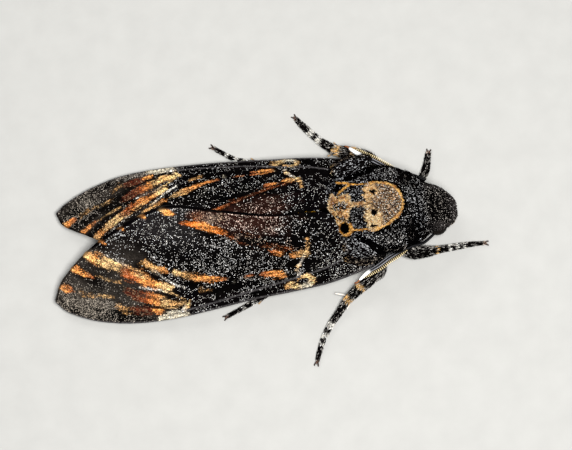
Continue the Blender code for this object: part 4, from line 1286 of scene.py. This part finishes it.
# The lobes over the wing roots: name, shapes, tone, share of pale hairs, paler rear.
LOBES = (("tegula", TEGULAE, srgb(226, 226, 228), 0.6, 0.8),
         ("shoulder", SHOULDERS, srgb(164, 148, 134), 0.4, 1.0))
for tag, side in SIDES:
    for k, (part, shapes, lobe_tone, share, rear_share) in enumerate(LOBES):
        def lobe_marks(u, p):
            dark = mix(BLACK, SOOT, noise(p, 0.8, 51))
            rear = step(7.4, 6.4, p[:, 0]) * rear_share
            tone = mix(lobe_tone, srgb(176, 158, 136), step(8.0, 8.8, np.abs(p[:, 1])) * 0.8)
            tone = mix(tone, CREAM, rear)
            light = share * (0.4 + 0.9 * noise(p, 0.5, 52)) * (1 - 0.75 * step(11.2, 12.8, p[:, 0]))
            # The right tegula has no pale hairs along its inner front part: painted shadow of the furrow
            # beside it.
            if side < 0:
                light = light * (1 - 0.97 * step(-0.2, 0.5, p[:, 0] - 9.1 + 1.08 * (aside(p) + 5.4)))
            return dark, dark, np.zeros(len(p)), np.clip(light + 0.3 * rear, 0, 1), tone

        seed = 130 + 10 * k + side
        coat_pair(f"coat_{part}_{{}}_{tag}", on_lobe(shapes[tag], LOBE_COAT), lobe_marks,
                  Pile(26, seed, 0.7, 0.06, 18, 0.14),
                  Pile(34, seed + 5, 0.5 if side < 0 else 0.38, 0.042, 18, 0.35), hang(-1.0, -0.42, -0.1),
                  lambda u, r: r - np.array(shapes[tag][0]), outside_body(0.3))

for k, (name, stations) in enumerate(LEGS.items()):
    def thick(root):
        """From 0 on the foot to 1 on the thigh."""
        line = along(stations, np.linspace(0, 1, 120))
        near = np.linalg.norm(root[:, None, :] - line[None, :, :3], axis=2).argmin(1)
        return np.clip((line[near, 3] - 0.45) / 0.6, 0, 1)

    def leg_length(root):
        return 0.44 + 0.3 * thick(root)

    def leg_lift(root):
        return np.where(root[:, 2] < 0.2, 0.0, 18 + 4 * thick(root))

    seed = 160 + 4 * k
    coat_pair(f"coat_leg_{name}_{{}}", on_limb(stations, LEG_COAT),
              lambda u, p: leg_marks(name, u, p), Pile(26, seed, leg_length, 0.06, leg_lift, 0.16),
              Pile(28, seed + 2, leg_length, 0.04, leg_lift, 0.16), along_limb,
              lambda u, r: r - along(stations, u)[:, :3], outside_body(0.2))


def palp_marks(u, p):
    n = len(p)
    dark = mix(SOOT, BROWN, noise(p, 0.8, 61))
    return dark, np.tile(srgb(120, 92, 66), (n, 1)), np.full(n, 0.25), np.zeros(n), dark


for tag, side in SIDES:
    coat(f"coat_palp_{tag}", on_limb(PALPS[tag], PALP_COAT), palp_marks,
         Pile(30, 190 + side, 0.5, 0.05, 18), along_limb, lambda u, r: r - along(PALPS[tag], u)[:, :3],
         outside_body(0.0))

# ------------------------------------------------------------------ wings


def wing_mesh(name, point, top_marks, low_marks, rows, cols):
    """A closed wing sheet with its own colours above and below."""
    u, v = np.meshgrid(np.linspace(0, 1, rows), np.linspace(0, 1, cols), indexing="ij")
    u, v = u.reshape(-1), v.reshape(-1)
    top, low = point(u, v, 1), point(u, v, -1)
    n = len(top)
    quads = grid_faces(rows, cols)
    i, r = np.arange(cols - 1), np.arange(rows - 1)
    rim = np.concatenate((i, r * cols + cols - 1, (rows - 1) * cols + i[::-1] + 1, (r[::-1] + 1) * cols))
    nxt = np.roll(rim, -1)
    sides = np.column_stack((rim, rim + n, nxt + n, nxt))
    quads = np.vstack((quads[:, ::-1], quads + n, sides[:, ::-1]))
    colour = np.vstack((blend_marks(top_marks(top)), blend_marks(low_marks(low))))
    return fix_normals(build_mesh(name, np.vstack((top, low)), np.zeros((0, 3), int), quads, colour=colour))


def plain(colour):
    """The five values of marks for a surface without markings or light pieces."""
    none = np.zeros(len(colour))
    return colour, colour, none, none, colour


def under_marks(pts):
    """Underside of a forewing: dull ochre, dusky toward the tip."""
    colour = mix(GOLD * 0.4, SOOT, noise(pts, 2.0, 71) * 0.5)
    return plain(mix(colour, SOOT, step(-18, -32, pts[:, 0]) * 0.8))


def hindwing_marks(pts):
    """Yellow hindwing with two black bands across it."""
    out = 5 - pts[:, 0]
    wave = (noise(pts, 1.4, 73) - 0.5) * 0.8
    inner_band = step(1.3, 0.9, np.abs(out - 20 + wave))
    outer_band = step(2.0, 1.4, np.abs(out - 27.5 + wave))
    gold = GOLD * (0.8 + 0.4 * noise(pts, 0.5, 72))[:, None]
    return plain(mix(gold, BLACK, np.maximum(inner_band, outer_band)))


def upward(face):
    return lambda u, root: np.tile((0.0, 0.0, float(face)), (len(root), 1))


for tag, side in SIDES:
    def fore(u, v, face=1):
        return forewing_point(side, u, v, face)

    def hind(u, v, face=1):
        return hindwing_point(side, u, v, face)

    def marks(p):
        return forewing_marks(side, p)

    def lie(root, du):
        return streak_lie(side, root)

    def inner(p, u, v):
        """Keeps scales off the very edge, and farther off the outer margin."""
        row = along(FOREWING[side], u)
        width = np.hypot(row[:, 2] - row[:, 0], row[:, 3] - row[:, 1])
        clear = gap_to(p[:, :2], MARGIN[side]) > 0.32 + 0.14 * (p[:, 0] < -21)
        return (v * width > 0.1) & (clear | (p[:, 0] > 0)) & ((1 - v) * width > 0.02) & (u < 0.992)

    wing = wing_mesh(f"forewing_membrane_{tag}", fore, marks, under_marks, 260, 84)
    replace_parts(dress(wing, MAT_WING), f"forewing_{tag}")
    wing = wing_mesh(f"hindwing_membrane_{tag}", hind, hindwing_marks, hindwing_marks, 110, 36)
    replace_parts(dress(wing, MAT_WING), f"hindwing_{tag}")
    seed = 5 * side
    coat_pair(f"coat_forewing_{{}}_{tag}", fore, by_place(marks),
              Pile(34, 200 + seed, 0.3, 0.066, 6, 0.16), Pile(52, 220 + seed, 0.17, 0.058, 16, 0.55), lie,
              upward(1), inner, vane=True)
    coat(f"coat_forewing_under_{tag}", lambda u, v: fore(u, v, -1),
         by_place(under_marks), Pile(8, 240 + seed, 0.42, 0.13, 6), lie, upward(-1), inner, vane=True)
    coat(f"coat_hindwing_{tag}", lambda u, v: hind(u, v, -1), by_place(hindwing_marks),
         Pile(10, 260 + seed, 0.5, 0.12, 6), along_limb, upward(-1), vane=True)

# ------------------------------------------------------------------ eyes, horn parts, feelers

# The eyes' facets: cells in place of the noise in the bump.
tree = MAT_EYE.node_tree
facets = tree.nodes.new("ShaderNodeTexVoronoi")
facets.inputs["Scale"].default_value = 9000
tree.nodes["Bump"].inputs["Distance"].default_value = 0.00003
tree.links.new(tree.nodes["Texture Coordinate"].outputs["Object"], facets.inputs["Vector"])
tree.links.new(facets.outputs["Distance"], tree.nodes["Bump"].inputs["Height"])
for node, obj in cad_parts.items():
    if node.startswith("eye") or node == "proboscis":
        for part in obj.material_slots:
            part.material = MAT_EYE if node.startswith("eye") else MAT_HORN


def curve_mesh(name, curves, mat, tints=(SOOT, SOOT), sides=10, rows=24):
    """One piece made of thin closed tubes along station curves, with the tints from root to tip."""
    verts, tris, quads = join_tubes([(on_limb(stations), rows, sides) for stations in curves])
    colour = np.tile(ramp(tints, tube_share(rows, sides)), (len(curves), 1))
    return dress(fix_normals(build_mesh(name, verts, tris, quads, colour=colour)), mat)


# Paired claws, from the end of each foot down to the floor: ahead, aside and up from it, radius.
CLAW = ((-0.3, 0.1, 0.05, 0.13), (0.08, 0.22, 0.1, 0.11), (0.34, 0.32, 0.0, 0.08), (0.5, 0.34, -0.24, 0.04))
for name, stations in LEGS.items():
    end, before = np.array(stations[-1][:3]), np.array(stations[-2][:3])
    ahead = unit((end - before) * (1, 1, 0))
    across = np.array((-ahead[1], ahead[0], 0))
    hooks = [[(*(end + ahead * f + across * k * w + np.array((0, 0, h))), r) for f, w, h, r in CLAW]
             for k in (-1, 1)]
    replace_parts(curve_mesh("claws_fine_" + name, hooks, MAT_HORN), "claws_" + name)

# Spurs of the shins: base, tip.  Only the middle right ones are pale and full length.
SPURS = {
    "mid_right": (((5.9, -13.3, 2.2), (4.1, -12.6, 1.7)), ((6.6, -14.2, 1.2), (5.7, -15.5, 0.7))),
    "mid_left": (((7.6, 11.5, 2.2), (5.9, 11.0, 1.7)), ((8.4, 12.7, 1.2), (7.6, 14.0, 0.7))),
    "hind_right": (((-8.0, -10.6, 1.2), (-10.0, -10.6, 0.9)), ((-8.0, -11.5, 0.8), (-9.6, -12.7, 0.4))),
    "hind_left": (((-5.8, 11.1, 1.2), (-7.8, 11.3, 0.9)), ((-5.8, 12.2, 0.8), (-7.2, 13.5, 0.4))),
}
for name, pairs in SPURS.items():
    pale_spurs = name == "mid_right"
    curves = []
    for a, b in pairs:
        a, b = np.array(a), np.array(b)
        b = a + (b - a) * (1.0 if pale_spurs else 0.7)
        curves.append([(*a, 0.15), (*(a * 0.6 + b * 0.4 + (0, 0, 0.08)), 0.14), (*b, 0.05)])
    tints = (SLATE, WHITE, WHITE) if pale_spurs else (SOOT, SLATE, CREAM * 0.6)
    curve_mesh("spurs_" + name, curves, MAT_ANTENNA, tints)


def feeler_stations(side):
    """The right feeler lies closer to the body than the left one and reaches farther back."""
    stations = []
    for x, y, z, r in ANTENNA:
        tuck = float(step(18.0, 14.0, x)) * (-0.3 if side < 0 else 0.25 + 0.3 * float(step(12, 10, x)))
        tail = float(step(11.6, 10.1, x)) * (-1.8 if side < 0 else 0.0)
        stations.append((x + tail, side * (y + tuck + 0.25 * tail * tail) + float(bend(x)), z, r))
    return stations


def shaft_colour(share, turn):
    """Black with two grey ridge lines, and white toward the tip; turn is the place round the shaft."""
    ridge = np.exp(-((turn - 0.17) / 0.022) ** 2) + np.exp(-((turn - 0.34) / 0.022) ** 2)
    rings = 0.6 + 0.4 * np.sin(share * 330)
    shade = mix(srgb(9, 8, 9), srgb(190, 190, 196), ridge.clip(0, 1) * rings)
    shade = mix(shade, BLACK, step(0.62, 0.4, share) * (1 - 0.12 * ridge))
    white = step(0.82, 0.865, share)
    shade = mix(shade, srgb(250, 249, 246), white)
    groove = white * step(0.5, 0.2, np.abs(turn - 0.25) * 10) * step(0.97, 0.9, share)
    return mix(shade, srgb(176, 176, 180), groove * 0.7)


SHAFT_ROWS, SHAFT_SIDES = 160, 48
TEETH, FIRST_TOOTH, LAST_TOOTH = 26, 0.38, 0.93
# The four edges of a tooth of the comb: outward, up, half width, brightness; the last two are its tip.
TOOTH = ((0.45, 0.62, 0.035, 0.1), (0.45, -0.8, 0.035, 0.05), (1.0, 0.3, 0.058, 1.0), (1.0, -0.6, 0.045, 0.3))
TOOTH_FACES = np.array(((0, 4, 5, 1), (4, 6, 7, 5), (6, 2, 3, 7), (2, 0, 1, 3), (0, 2, 6, 4), (1, 5, 7, 3)))
for tag, side in SIDES:
    stations = feeler_stations(side)
    grid = np.linspace(0, 1, 400)
    run = distance_along(stations, grid)
    run /= run[-1]

    def shaft(u, v):
        slim = 0.06 + 0.08 * (1 - np.interp(u, grid, run) * 1.6).clip(0, 1)[:, None]
        return tube_point(stations, u, v, slim)

    verts, tris, quads = closed_tube(shaft, SHAFT_ROWS, SHAFT_SIDES)
    share = np.interp(tube_share(SHAFT_ROWS, SHAFT_SIDES), grid, run)
    turn = np.concatenate((np.tile(np.arange(SHAFT_SIDES) / SHAFT_SIDES, SHAFT_ROWS), (0, 0)))
    piece = build_mesh(f"antenna_shaft_{tag}", verts, tris, quads, colour=shaft_colour(share, turn))
    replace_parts(dress(fix_normals(piece), MAT_ANTENNA), f"antenna_{tag}")
    # The hooked bristle at the tip.
    tip, before = np.array(stations[-1][:3]), np.array(stations[-2][:3])
    ahead = unit(tip - before)
    hook = [(*(tip - ahead * 0.3), 0.14), (*(tip + ahead * 0.4 + (0, 0, 0.02)), 0.09),
            (*(tip + ahead * 0.9 + np.array((0, -0.25 * side, 0.05))), 0.04)]
    curve_mesh(f"antenna_hook_{tag}", [hook], MAT_ANTENNA, (srgb(150, 96, 60), srgb(110, 58, 34)))
    # A dark keel along the outer side, with the comb of short teeth on it.
    places = np.interp(np.linspace(FIRST_TOOTH, LAST_TOOTH, TEETH), run, grid)
    line = along(stations, places)
    ahead = unit(along(stations, places + 0.01)[:, :3] - along(stations, places - 0.01)[:, :3])
    across = unit(np.cross(ahead, (0, 0, 1.0)))
    across *= np.sign(across[:, 1:2]) * side
    up = np.cross(ahead, across)
    up *= np.sign(up[:, 2:3])
    tooth = np.arange(TEETH)
    swell = np.minimum(1, np.minimum(tooth / 6 + 0.25, (TEETH - 1 - tooth) / 4 + 0.3))
    keel = [(*(line[k, :3] + across[k] * (0.3 + 0.18 * swell[k]) - up[k] * 0.16), 0.1 + 0.13 * swell[k])
            for k in range(0, TEETH, 5)]
    curve_mesh(f"antenna_keel_{tag}", [keel], MAT_ANTENNA, (srgb(26, 17, 12),) * 2, rows=60)
    verts, colours = [], []
    for k in range(TEETH):
        r, centre = line[k, 3] - 0.1, line[k, :3]
        for out, rise, half, bright in TOOTH:
            at_tip = out == 1.0
            reach = 0.5 * swell[k] if at_tip else 0
            edge = centre + across[k] * (r * out + reach) + up[k] * (r * rise)
            verts += [edge - ahead[k] * half, edge + ahead[k] * half]
            colours += [(srgb(255, 232, 176) if bright == 1.0 else srgb(232, 180, 96)) * bright] * 2
    quads = (TOOTH_FACES + 8 * np.arange(TEETH)[:, None, None]).reshape(-1, 4)
    piece = build_mesh(f"antenna_comb_{tag}", np.array(verts), np.zeros((0, 3), int), quads,
                       colour=np.array(colours), smooth=False)
    dress(fix_normals(piece), MAT_ANTENNA)

# ------------------------------------------------------------------ floor, light, camera

bpy.ops.mesh.primitive_plane_add(size=3.0, location=(0, 0, 0))
floor = bpy.context.active_object
floor.name = "floor"
floor.data.materials.append(material("Paper", rough=0.8, tint=srgb(170, 169, 165), cell=0.004, bump=0.05,
                                     low=0.97, high=1.03, spec=0.1))


def area_light(name, place, size, power):
    data = bpy.data.lights.new(name, "AREA")
    data.shape, data.size, data.energy = "DISK", size, power
    lamp = bpy.data.objects.new(name, data)
    lamp.location = place
    lamp.rotation_euler = (-Vector(place)).to_track_quat("-Z", "Y").to_euler()
    bpy.context.scene.collection.objects.link(lamp)


area_light("key", (0.05, -0.08, 0.38), 0.14, 2.6)
area_light("fill", (-0.12, 0.26, 0.30), 0.25, 0.55)
world = bpy.data.worlds.new("studio")
world.use_nodes = True
world.node_tree.nodes["Background"].inputs["Color"].default_value = (0.92, 0.95, 1.0, 1)
world.node_tree.nodes["Background"].inputs["Strength"].default_value = 0.22
bpy.context.scene.world = world
bpy.context.scene.view_settings.view_transform = "Standard"

TILT, ROLL = math.radians(10), math.radians(8.5)
TARGET, LENS, WIDTH = (-2.45, -0.38, 6.0), 150.0, 97.24
cam_data = bpy.data.cameras.new("camera")
cam_data.lens, cam_data.sensor_width = LENS, 36.0
cam_data.clip_start, cam_data.clip_end = 0.01, 10
camera = bpy.data.objects.new("camera", cam_data)
bpy.context.scene.collection.objects.link(camera)
back = Vector((0, -math.sin(TILT), math.cos(TILT)))
flat_up = Vector((0, math.cos(TILT), math.sin(TILT)))
right = Vector((math.cos(ROLL), 0, 0)) - flat_up * math.sin(ROLL)
up = Vector((math.sin(ROLL), 0, 0)) + flat_up * math.cos(ROLL)
turn = Matrix((right, up, back)).transposed().to_4x4()
turn.translation = Vector(metres([TARGET])[0]) + back * (WIDTH / 36.0 * LENS * 0.001)
camera.matrix_world = turn
bpy.context.scene.camera = camera
